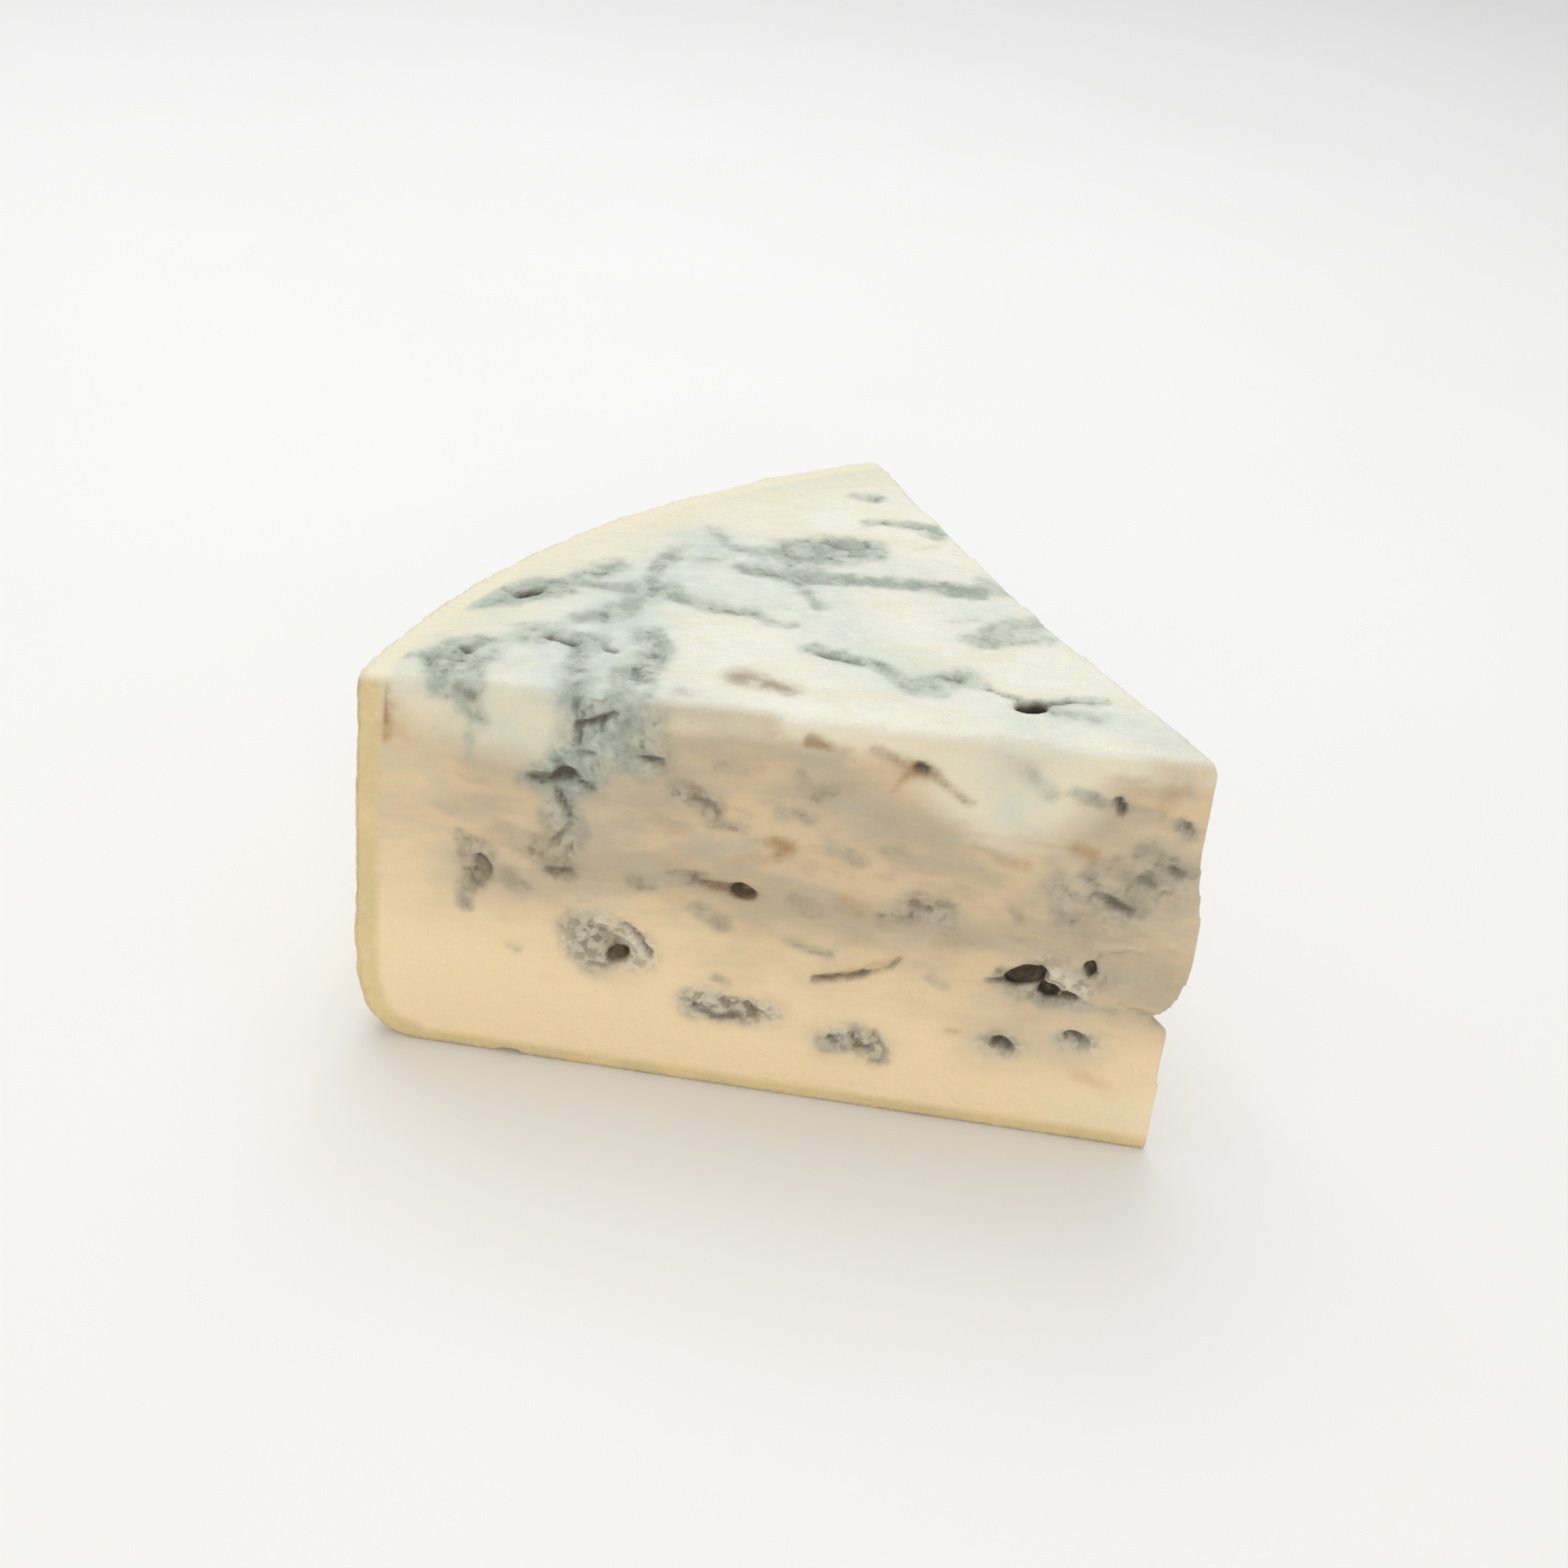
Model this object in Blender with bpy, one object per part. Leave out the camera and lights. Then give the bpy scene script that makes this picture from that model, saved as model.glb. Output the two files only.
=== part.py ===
"""A wedge of blue-veined cheese, cut from a wheel that was first halved level.

The wedge rests on the flat rind of the wheel. Two upright cuts meet at the tip, which was the middle
of the wheel, and the curved rind closes the third side. The top is the level cut. Paste and rind grew
together, so the wedge is one body.

All lengths are in metres, +Z is up, and the origin ends under the middle of the wedge's box. The first
cut faces -Y, the tip points to +X and the rind lies towards -X and +Y. While it is modelled, x and y run
from the foot of the corner between the first cut and the rind.
"""

import math

import bmesh
import bpy
from mathutils import Matrix, Vector, noise

# The sector that the knife cut out of the wheel
FIRST_CUT = 0.1362  # from the rind to the tip, before its corner is rounded
SECOND_CUT = 0.1306
TIP_ANGLE = math.radians(61.5)
RIND_SAGITTA = 0.0147  # how far the rind stands out from the chord between its two corners
SECOND_CUT_HOLLOW = 0.0030  # how far the second cut is dished in at its middle

# The top slopes a little, because the wheel was halved by hand
HEIGHT_FRONT_CORNER = 0.0700
HEIGHT_TIP = 0.0760
HEIGHT_REAR_CORNER = 0.0710

# Upright profiles
HEEL_INSET = 0.0085  # the rounded edge where the wheel's side turns into its flat face
HEEL_HEIGHT = 0.0150
RIND_BULGE = 0.0010
TIP_LEAN = 0.0020  # the tip's foot stands this much further out than its top
TIP_SWELL = 0.0024  # the soft paste swells a little above the crack in the tip
TIP_SWELL_HEIGHT = 0.0400
TIP_SWELL_REACH = 0.0100
CUT_WAVE = 0.0005  # how far the knife strayed from flat
CUT_WAVE_LENGTH = 0.0300
EDGE_ROUNDING = 0.0012
STRETCH_START = 0.0400  # the walls below this keep their height, and above it they stretch to the top

# Stretches of the first cut where the soft rim has slumped: (middle along from the rind, half length)
SLUMPED_STRETCHES = ((0.0230, 0.0120), (0.1050, 0.0075))
SLUMP_INSET = 0.0030
SLUMP_DEPTH = 0.0130  # how far down from the top the slump reaches

# How finely the walls are divided
STEPS_ALONG_CUT = 18
STEPS_ALONG_RIND = 22
STEPS_UP_HEEL = 5
STEPS_UP_WALL = 12

# Holes that open on the first cut: (along from the rind, up, width, height, depth, tilt in degrees).
# Each hole reaches half its depth into the paste.
FIRST_CUT_HOLES = {
    "round_eye": (0.0436, 0.0256, 0.0118, 0.0086, 0.0044, -12),
    "eye_pit": (0.0453, 0.0231, 0.0040, 0.0032, 0.0110, 25),
    "ridged_hole": (0.0655, 0.0160, 0.0130, 0.0050, 0.0042, -6),
    "low_hole": (0.0873, 0.0127, 0.0090, 0.0042, 0.0040, -10),
    "branched_hole": (0.1122, 0.0314, 0.0066, 0.0032, 0.0090, 12),
    "branch_crack": (0.1178, 0.0293, 0.0086, 0.0017, 0.0070, -14),
    "branch_pit": (0.1225, 0.0345, 0.0022, 0.0028, 0.0070, 15),
    "long_hole": (0.0646, 0.0394, 0.0062, 0.0021, 0.0070, -4),
    "vein_hole": (0.0340, 0.0564, 0.0050, 0.0022, 0.0070, 6),
    "small_hole_1": (0.1104, 0.0172, 0.0030, 0.0026, 0.0036, 0),
    "small_hole_2": (0.1223, 0.0207, 0.0040, 0.0020, 0.0034, -5),
    "upright_hole": (0.0213, 0.0362, 0.0026, 0.0056, 0.0050, 16),
    "curved_slit": (0.0850, 0.0285, 0.0150, 0.0014, 0.0060, 25),
}

# Holes that open on the second cut: (along from the tip, up, width, height, depth, tilt in degrees)
SECOND_CUT_HOLES = {
    "far_eye": (0.0880, 0.0300, 0.0105, 0.0080, 0.0120, 10),
    "far_long_hole": (0.0520, 0.0240, 0.0110, 0.0034, 0.0080, 6),
    "far_branched_hole": (0.0690, 0.0470, 0.0120, 0.0046, 0.0100, -14),
    "far_hole_1": (0.0290, 0.0440, 0.0054, 0.0040, 0.0070, 0),
    "far_hole_2": (0.1080, 0.0470, 0.0050, 0.0042, 0.0060, 20),
    "far_slit": (0.0380, 0.0140, 0.0120, 0.0016, 0.0060, -18),
}

# Holes that open on the top: (x, y, length, width, depth, turn in degrees)
TOP_HOLES = {
    "top_hole": (0.1066, 0.0131, 0.0036, 0.0032, 0.0100, 10),
    "top_pit": (0.0203, 0.0372, 0.0038, 0.0026, 0.0040, 40),
}

# The crack that runs into the tip, and the soft corner of paste that rounds over just above it
CRACK_HEIGHT = 0.0265
CRACK_REACH = 0.0066
CRACK_OPENING = 0.0016
CRACK_TILT = 12
PINCH_REACH = 0.0036  # how far the corner is drawn in at the crack
PINCH_HEIGHT = 0.0085
STEPS_UP_PINCH = 5

HOLE_ROUGHNESS = 0.22  # how far a hole strays from an ellipsoid, as a share of its size
HOLE_ROUGHNESS_SCALE = 1.6
HOLE_SUBDIVISIONS = 2

PASTE_COLOUR = (0.80, 0.72, 0.55, 1.0)
PASTE_ROUGHNESS = 0.55


def tip_at(height):
    """The tip's foot leans out, and the paste swells and then rounds in above the crack."""
    lean = TIP_LEAN * (1 - height / HEIGHT_TIP)
    swell = TIP_SWELL * math.exp(-(((height - TIP_SWELL_HEIGHT) / TIP_SWELL_REACH) ** 2))
    return Vector((FIRST_CUT + lean + swell - tip_pinch(height), 0.0))


def tip_pinch(height):
    """How far the tip is drawn in above the crack: a quarter ellipse that starts at the crack."""
    above = (height - CRACK_HEIGHT) / PINCH_HEIGHT
    if not 0 <= above <= 1:
        return 0.0
    return PINCH_REACH * (1 - math.sqrt(1 - (1 - above) ** 2))


def rear_corner(inset=0.0):
    """The corner between the second cut and the rind, drawn in along the cut by the inset."""
    reach = SECOND_CUT - inset
    return Vector((FIRST_CUT - reach * math.cos(TIP_ANGLE), reach * math.sin(TIP_ANGLE)))


def front_corner(inset=0.0):
    """The corner between the first cut and the rind."""
    return Vector((inset, 0.0))


def bowed_line(start, end, rise, steps):
    """Points from start up to but not including end, on an arc that stands rise left of its chord."""
    chord = end - start
    side = Vector((-chord.y, chord.x)).normalized()
    shares = [step / steps for step in range(steps)]
    return [start + chord * share + side * (4 * rise * share * (1 - share)) for share in shares]


def heel_inset(height):
    """How far the rind is drawn in at a height: a quarter ellipse up to the top of the heel."""
    below = max(0.0, 1 - height / HEEL_HEIGHT)
    return HEEL_INSET * (1 - math.sqrt(1 - below**2))


def plan(height):
    """The wedge's outline at a height, anticlockwise from the front corner."""
    inset = heel_inset(height)
    bulge = RIND_BULGE * math.sin(math.pi * min(1.0, height / HEIGHT_FRONT_CORNER))
    tip = tip_at(height)
    front = front_corner(inset)
    rear = rear_corner(inset)
    return (
        bowed_line(front, tip, 0.0, STEPS_ALONG_CUT)
        + bowed_line(tip, rear, SECOND_CUT_HOLLOW, STEPS_ALONG_CUT)
        + bowed_line(rear, front, -(RIND_SAGITTA + bulge), STEPS_ALONG_RIND)
    )


def top_height(point):
    """The sloping top, a plane through the tops of the three corners."""
    front = Vector((*front_corner(), HEIGHT_FRONT_CORNER))
    tip = Vector((FIRST_CUT, 0.0, HEIGHT_TIP))
    rear = Vector((*rear_corner(), HEIGHT_REAR_CORNER))
    normal = (tip - front).cross(rear - front)
    return front.z - (normal.x * (point.x - front.x) + normal.y * (point.y - front.y)) / normal.z


def levels():
    """The rings' heights: close together up the heel and at the crack, and even up the rest."""
    turns = [step / STEPS_UP_HEEL * math.pi / 2 for step in range(STEPS_UP_HEEL)]
    heel = [HEEL_HEIGHT * (1 - math.cos(turn)) for turn in turns]
    shares = [(step / STEPS_UP_PINCH) ** 2 for step in range(STEPS_UP_PINCH + 1)]
    pinch = [CRACK_HEIGHT - CRACK_OPENING]
    pinch += [CRACK_HEIGHT + PINCH_HEIGHT * share for share in shares]
    step_up = (HEIGHT_FRONT_CORNER - HEEL_HEIGHT) / STEPS_UP_WALL
    wall = [HEEL_HEIGHT + step_up * step for step in range(STEPS_UP_WALL + 1)]
    clear_wall = [height for height in wall if not pinch[0] - step_up / 2 < height < pinch[-1]]
    return sorted(heel + pinch + clear_wall)


def slump_inset(place, height):
    """How far the first cut is drawn in where its soft rim has slumped."""
    if place.y > 1e-6:
        return 0.0
    below_top = top_height(place) - height
    steepness = max(0.0, 1 - below_top / SLUMP_DEPTH) ** 1.5
    nearness = max(math.exp(-(((place.x - middle) / half) ** 4)) for middle, half in SLUMPED_STRETCHES)
    return SLUMP_INSET * nearness * steepness


def ring_point(place, height):
    """A point of a ring: the walls stretch up to the sloping top, and stray a little from flat."""
    share = max(0.0, (height - STRETCH_START) / (HEIGHT_FRONT_CORNER - STRETCH_START))
    stretched = height + share * (top_height(place) - HEIGHT_FRONT_CORNER)
    place = Vector((place.x, place.y + slump_inset(place, stretched)))
    stray = noise.noise(Vector((place.x, place.y, stretched)) / CUT_WAVE_LENGTH)
    middle = (front_corner() + tip_at(0.0) + rear_corner()) / 3
    outward = (place - middle).normalized() * (stray * CUT_WAVE * min(1.0, height / HEEL_HEIGHT))
    return Vector((place.x + outward.x, place.y + outward.y, stretched))


def build_wedge():
    """The solid wedge: rings from the foot to the top, closed by the flat foot and the level cut."""
    shape = bmesh.new()
    rings = []
    for height in levels():
        places = [ring_point(place, height) for place in plan(height)]
        rings.append([shape.verts.new(place) for place in places])
    for lower, upper in zip(rings, rings[1:]):
        for here in range(len(lower)):
            after = (here + 1) % len(lower)
            shape.faces.new((lower[here], lower[after], upper[after], upper[here]))
    shape.faces.new(reversed(rings[0]))
    shape.faces.new(rings[-1])
    round_edges(shape, rings)
    mesh = bpy.data.meshes.new("cheese_wedge")
    shape.to_mesh(mesh)
    shape.free()
    mesh.shade_smooth()
    mesh.set_sharp_from_angle(angle=math.radians(35))
    return bpy.data.objects.new("cheese_wedge", mesh)


def round_edges(shape, rings):
    """Softens the rim of the top and the three upright corners, as a knife and handling leave them."""
    rim = {frozenset((rings[-1][here - 1], rings[-1][here])) for here in range(len(rings[-1]))}
    corners = (0, STEPS_ALONG_CUT, 2 * STEPS_ALONG_CUT)
    uprights = {
        frozenset((lower[corner], upper[corner]))
        for lower, upper in zip(rings, rings[1:])
        for corner in corners
    }
    chosen = [edge for edge in shape.edges if frozenset(edge.verts) in rim | uprights]
    bmesh.ops.bevel(shape, geom=chosen, offset=EDGE_ROUNDING, segments=2, profile=0.5, affect="EDGES")


def rough_ellipsoid(name, size, seed):
    """A lumpy closed form that a hole is cut with."""
    form = bmesh.new()
    bmesh.ops.create_icosphere(form, subdivisions=HOLE_SUBDIVISIONS, radius=1.0)
    for vert in form.verts:
        lump = noise.noise(vert.co * HOLE_ROUGHNESS_SCALE + Vector((seed * 7.3, 0.0, 0.0)))
        vert.co *= 1 + HOLE_ROUGHNESS * lump
        vert.co = Vector((vert.co.x * size[0] / 2, vert.co.y * size[1] / 2, vert.co.z * size[2] / 2))
    mesh = bpy.data.meshes.new(name)
    form.to_mesh(mesh)
    form.free()
    return bpy.data.objects.new(name, mesh)


def cut_hole_cutters(holes, start, turn, bow, first_seed):
    """Cutters for holes on an upright cut that leaves start at a turn from +X, dished in by bow."""
    cutters = []
    direction = Vector((math.cos(turn), math.sin(turn)))
    inward = Vector((-direction.y, direction.x))
    for seed, (name, hole) in enumerate(holes.items(), start=first_seed):
        along, up, width, height, depth, tilt = hole
        cutter = rough_ellipsoid(name, (width, depth, height), seed)
        share = along / SECOND_CUT
        foot = start + direction * along + inward * (4 * bow * share * (1 - share))
        turned = Matrix.Rotation(turn, 4, "Z") @ Matrix.Rotation(math.radians(-tilt), 4, "Y")
        cutter.matrix_world = Matrix.Translation((foot.x, foot.y, up)) @ turned
        cutters.append(cutter)
    return cutters


def top_hole_cutters(first_seed):
    cutters = []
    for seed, (name, hole) in enumerate(TOP_HOLES.items(), start=first_seed):
        x, y, length, width, depth, turn = hole
        cutter = rough_ellipsoid(name, (length, width, depth), seed)
        place = (x, y, top_height(Vector((x, y))))
        cutter.matrix_world = Matrix.Translation(place) @ Matrix.Rotation(math.radians(turn), 4, "Z")
        cutters.append(cutter)
    return cutters


def all_cutters():
    """One cutter for each hole, set half into the face that it opens on, and one for the crack."""
    cutters = cut_hole_cutters(FIRST_CUT_HOLES, front_corner(), 0.0, 0.0, first_seed=0)
    cutters += top_hole_cutters(first_seed=len(cutters))
    cutters.append(crack_cutter(seed=len(cutters)))
    start = Vector((FIRST_CUT, 0.0))
    turn = math.pi - TIP_ANGLE
    seed = len(cutters)
    return cutters + cut_hole_cutters(SECOND_CUT_HOLES, start, turn, SECOND_CUT_HOLLOW, seed)


def crack_cutter(seed):
    """A flat lens across the tip, which leaves a notch that thins to a crack on both cuts."""
    cutter = rough_ellipsoid("tip_crack", (2 * CRACK_REACH, 2 * CRACK_REACH, CRACK_OPENING), seed)
    place = Matrix.Translation((*tip_at(CRACK_HEIGHT), CRACK_HEIGHT))
    cutter.matrix_world = place @ Matrix.Rotation(math.radians(CRACK_TILT), 4, "Y")
    return cutter


def cut_holes(wedge, cutters, collection):
    """Cuts each hole with a Boolean and keeps its cutter as a wire guide."""
    for cutter in cutters:
        collection.objects.link(cutter)
        cutter.hide_render = True
        cutter.display_type = "WIRE"
        cut = wedge.modifiers.new(cutter.name, "BOOLEAN")
        cut.operation = "DIFFERENCE"
        cut.solver = "EXACT"
        cut.object = cutter


def paste_material():
    material = bpy.data.materials.new("cheese_paste")
    material.use_nodes = True
    shader = material.node_tree.nodes["Principled BSDF"]
    shader.inputs["Base Color"].default_value = PASTE_COLOUR
    shader.inputs["Roughness"].default_value = PASTE_ROUGHNESS
    shader.inputs["Metallic"].default_value = 0.0
    return material


def stand_on_origin(wedge, pieces):
    """Hangs every piece on an empty, moved so that the origin is under the middle of the wedge's box."""
    bpy.context.view_layer.update()
    shaped = wedge.evaluated_get(bpy.context.evaluated_depsgraph_get())
    corners = [Vector(corner) for corner in shaped.bound_box]
    lowest = Vector([min(corner[axis] for corner in corners) for axis in range(3)])
    highest = Vector([max(corner[axis] for corner in corners) for axis in range(3)])
    frame = bpy.data.objects.new("wheel_frame", None)
    wedge.users_collection[0].objects.link(frame)
    for piece in pieces:
        piece.parent = frame
    frame.location = (-(lowest.x + highest.x) / 2, -(lowest.y + highest.y) / 2, -lowest.z)


def main():
    for old in list(bpy.data.objects):
        bpy.data.objects.remove(old, do_unlink=True)
    parts = bpy.data.collections.new("cheese_wedge")
    tools = bpy.data.collections.new("cutters")
    bpy.context.scene.collection.children.link(parts)
    bpy.context.scene.collection.children.link(tools)

    wedge = build_wedge()
    wedge.data.materials.append(paste_material())
    parts.objects.link(wedge)
    cutters = all_cutters()
    cut_holes(wedge, cutters, tools)
    stand_on_origin(wedge, [wedge, *cutters])


main()
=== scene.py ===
"""The finished look of a wedge of blue-veined cheese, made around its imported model.

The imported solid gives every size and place. It is remeshed to an even fine grid, which takes the relief
of the cut paste, the crumbly mould veins, the cracks and the rind. Where each of these lies is stored on
the mesh as named values, which the material turns into colour. Places on a face are in millimetres: on the
first cut along from the rind and up, and on the top along the first cut and away from it. Depths inside a
face are in millimetres too.
"""

import itertools
import math

import bmesh
import bpy
import numpy as np
from mathutils import Matrix, Vector
from mathutils.bvhtree import BVHTree


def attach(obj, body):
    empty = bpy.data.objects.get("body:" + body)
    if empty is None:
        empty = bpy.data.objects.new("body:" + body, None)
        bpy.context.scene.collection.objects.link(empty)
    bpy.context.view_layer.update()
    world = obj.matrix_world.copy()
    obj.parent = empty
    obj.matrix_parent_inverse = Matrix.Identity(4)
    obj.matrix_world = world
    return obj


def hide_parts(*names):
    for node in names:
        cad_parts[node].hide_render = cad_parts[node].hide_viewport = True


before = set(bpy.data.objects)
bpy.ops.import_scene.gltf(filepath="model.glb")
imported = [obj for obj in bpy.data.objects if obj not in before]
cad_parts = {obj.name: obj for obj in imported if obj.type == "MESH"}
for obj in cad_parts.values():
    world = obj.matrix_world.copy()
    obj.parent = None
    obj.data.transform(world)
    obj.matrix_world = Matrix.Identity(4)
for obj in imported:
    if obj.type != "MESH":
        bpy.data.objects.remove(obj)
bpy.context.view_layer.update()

NODE = "cheese_wedge"
PIECE = "cheese_wedge_surface"
MM = 0.001

# The grid that carries the relief
GRID = 0.8 * MM
SMOOTHING_ROUNDS = 3
NORMAL_ROUNDS = 4
RIM_ROUNDS = 70

# The rind: thickness in the cut faces, along the wheel's side and along its flat face
SIDE_RIND = 4.2
FLAT_RIND = 2.8

# ---------------------------------------------------------------------------------------------------------
# Marks on the top. Each is a line: (points, width at the first point, width at the last, strength).
# ---------------------------------------------------------------------------------------------------------

TOP_MOULD = (
    # the patch with a brown heart near the rind, and the one beyond it
    (((12, 31), (17, 34.5), (21.5, 38.5)), 6.0, 6.5, 0.85),
    (((25.5, 42), (29, 47), (32, 51)), 4.0, 5.5, 0.65),
    (((24, 37), (27, 38)), 2.5, 3.0, 0.45),
    # the mottled cluster in the corner between the first cut and the rind
    (((14.5, 15), (11.5, 9.5), (15.5, 7), (18.5, 11)), 4.5, 4.5, 0.75),
    (((11.5, 8), (13.5, 2), (17, 0), (18.5, 5)), 3.5, 4.0, 0.75),
    (((17, 0), (20, -4), (19, -12)), 4.0, 1.5, 0.55),
    # the chain from that cluster to the middle
    (((13, 16), (21, 18), (28, 20.5), (34, 20)), 3.0, 5.0, 0.55),
    (((22.5, 24), (28, 24)), 3.5, 4.0, 0.45),
    (((31, 29), (36, 32), (38.5, 37)), 4.5, 5.5, 0.6),
    (((29, 42), (35, 42), (40, 43.5), (44.5, 43)), 2.5, 4.5, 0.6),
    (((39, 42), (40, 50), (41.5, 58), (43, 64)), 4.0, 2.5, 0.45),
    (((42, 57), (47, 58), (51, 60)), 2.5, 3.0, 0.45),
    (((43, 42), (49, 39), (55, 37.5), (59, 37.5)), 3.5, 3.5, 0.65),
    (((62, 34.5), (65.5, 34)), 3.0, 2.5, 0.55),
    (((47, 72), (50, 66), (54, 63)), 3.0, 3.5, 0.45),
    # the big patch at the rim of the first cut
    (((42, 26), (45, 20), (44.5, 14), (43, 9)), 4.5, 6.0, 0.8),
    (((34, 20), (33.5, 10), (34.5, 2), (37, -8)), 3.5, 5.0, 0.7),
    (((43, 9), (41.5, 3), (43, -3)), 4.0, 6.5, 0.6),
    # the patch, and the long straight vein, towards the rear corner
    (((64.5, 64.5), (68.5, 67.5), (73.5, 68.5)), 11.0, 9.0, 1.0),
    (((55, 56), (62, 54), (72, 54.5), (84, 55.7), (96, 55)), 3.5, 4.5, 0.9),
    (((97, 61), (101, 56)), 3.5, 3.0, 0.45),
    (((75, 81.5), (82, 83), (88, 79.5)), 2.8, 4.0, 0.7),
    (((71, 94), (75.5, 94.5)), 2.8, 3.5, 0.55),
    (((42, 92), (49, 95)), 2.0, 2.5, 0.45),
    # the bluish run that slants from the long vein to the middle of the top
    (((63, 54), (67, 47), (70, 42)), 2.0, 2.5, 0.45),
    (((70, 26), (75, 24), (81, 22)), 3.5, 3.0, 0.7),
    (((81, 22), (86, 18.5), (90, 17), (95, 21)), 3.0, 6.0, 0.6),
    (((88, 15), (92, 14)), 4.0, 3.0, 0.5),
    # the patch by the second cut, and the thin vein to the dark hole
    (((97, 35.5), (101, 41), (106, 45)), 5.5, 5.5, 0.55),
    (((101, 36.5), (109, 38.5)), 4.0, 3.0, 0.45),
    (((94, 20), (100, 18), (106, 14.5)), 1.2, 1.6, 0.6),
    (((108, 14.5), (112, 17), (118, 18)), 2.0, 2.5, 0.6),
    (((110, 12.5), (116, 12)), 5.0, 5.5, 0.45),
)

TOP_WASH = (
    # broad pale blue stretches around the veins
    (((12, 4), (20, 14), (36, 22), (40, 8)), 15.0, 16.0, 0.55),
    (((34, -4), (36, 12), (38, 30), (41, 46), (46, 62)), 14.0, 13.0, 0.75),
    (((18, 33), (32, 44), (44, 46), (58, 40)), 11.0, 11.0, 0.5),
    (((48, 66), (58, 60), (66, 50), (72, 38), (76, 26), (90, 18)), 12.0, 12.0, 0.55),
    (((60, 56), (80, 60), (96, 54)), 15.0, 12.0, 0.4),
    (((100, 42), (108, 42)), 13.0, 9.0, 0.6),
    (((106, 6), (118, 12), (128, 6)), 12.0, 10.0, 0.5),
    (((50, 5), (58, 3)), 6.0, 6.0, 0.3),
    (((42, 94), (58, 102), (72, 110)), 12.0, 14.0, 0.4),
)

TOP_DARK = (
    # holes, cracks and dark hearts of veins
    (((19, 36), (21.3, 38.3)), 2.6, 2.2, 0.75),
    (((30, 47.5), (31.5, 48)), 1.2, 1.2, 0.45),
    (((27, 20.8), (31.5, 19.2)), 1.3, 1.8, 0.85),
    (((14, 14.5), (15.5, 12.5)), 1.3, 1.7, 0.8),
    (((9.8, 8.5), (10.4, 6)), 1.0, 0.8, 0.55),
    (((13, 9.5), (16, 9)), 0.8, 0.8, 0.4),
    (((16.2, 0), (17.5, -0.8)), 1.4, 1.2, 0.65),
    (((20.4, -3), (21.2, -5.5)), 1.4, 1.6, 0.75),
    (((37.2, 18.8), (38.6, 18)), 1.5, 1.3, 0.75),
    (((43, 12.5), (43.5, 9)), 1.6, 1.8, 0.5),
    (((46, 18.5), (46.5, 16)), 1.2, 1.4, 0.4),
    (((35, 1.5), (35.8, -1)), 1.5, 1.5, 0.6),
    (((54, 38), (56.5, 37)), 1.2, 1.3, 0.4),
    (((66.5, 71), (72, 70)), 1.5, 1.8, 0.35),
    (((88, 57), (94, 57)), 1.3, 1.5, 0.35),
    (((82, 82.5), (84.5, 82)), 1.3, 1.2, 0.35),
    (((71.5, 24.6), (75, 23.8), (79, 22.4)), 1.4, 0.9, 0.65),
    (((93.8, 22), (94.6, 20.4)), 1.3, 1.3, 0.5),
    (((86, 20), (87, 18.5)), 1.0, 1.0, 0.35),
    (((99, 18.2), (104.5, 15.2)), 0.6, 1.0, 0.5),
    (((105.6, 12.9), (107.4, 13.6)), 3.2, 2.8, 1.0),
    (((108.5, 15), (112.5, 17), (116.5, 17.6)), 1.4, 0.7, 0.6),
    (((110, 12.4), (110.6, 12)), 1.2, 1.0, 0.45),
)

TOP_STAIN = (
    # brown and orange tinges
    (((60, 12.2), (64, 11), (68, 9.6)), 5.5, 4.0, 0.8),
    (((51, 6), (53, 5.4)), 3.0, 2.5, 0.45),
    (((5, 10), (7, 8)), 3.0, 2.5, 0.6),
    (((92, 42), (97, 44)), 1.6, 1.6, 0.35),
    (((84, 71), (88, 74)), 1.8, 1.6, 0.35),
    (((19, 36), (21, 38)), 4.0, 4.0, 0.5),
    (((28, 20.5), (31.5, 19.5)), 3.0, 3.0, 0.5),
    (((104.5, 13), (108, 14)), 4.5, 4.0, 0.4),
)

# ---------------------------------------------------------------------------------------------------------
# Marks on the first cut
# ---------------------------------------------------------------------------------------------------------

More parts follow.
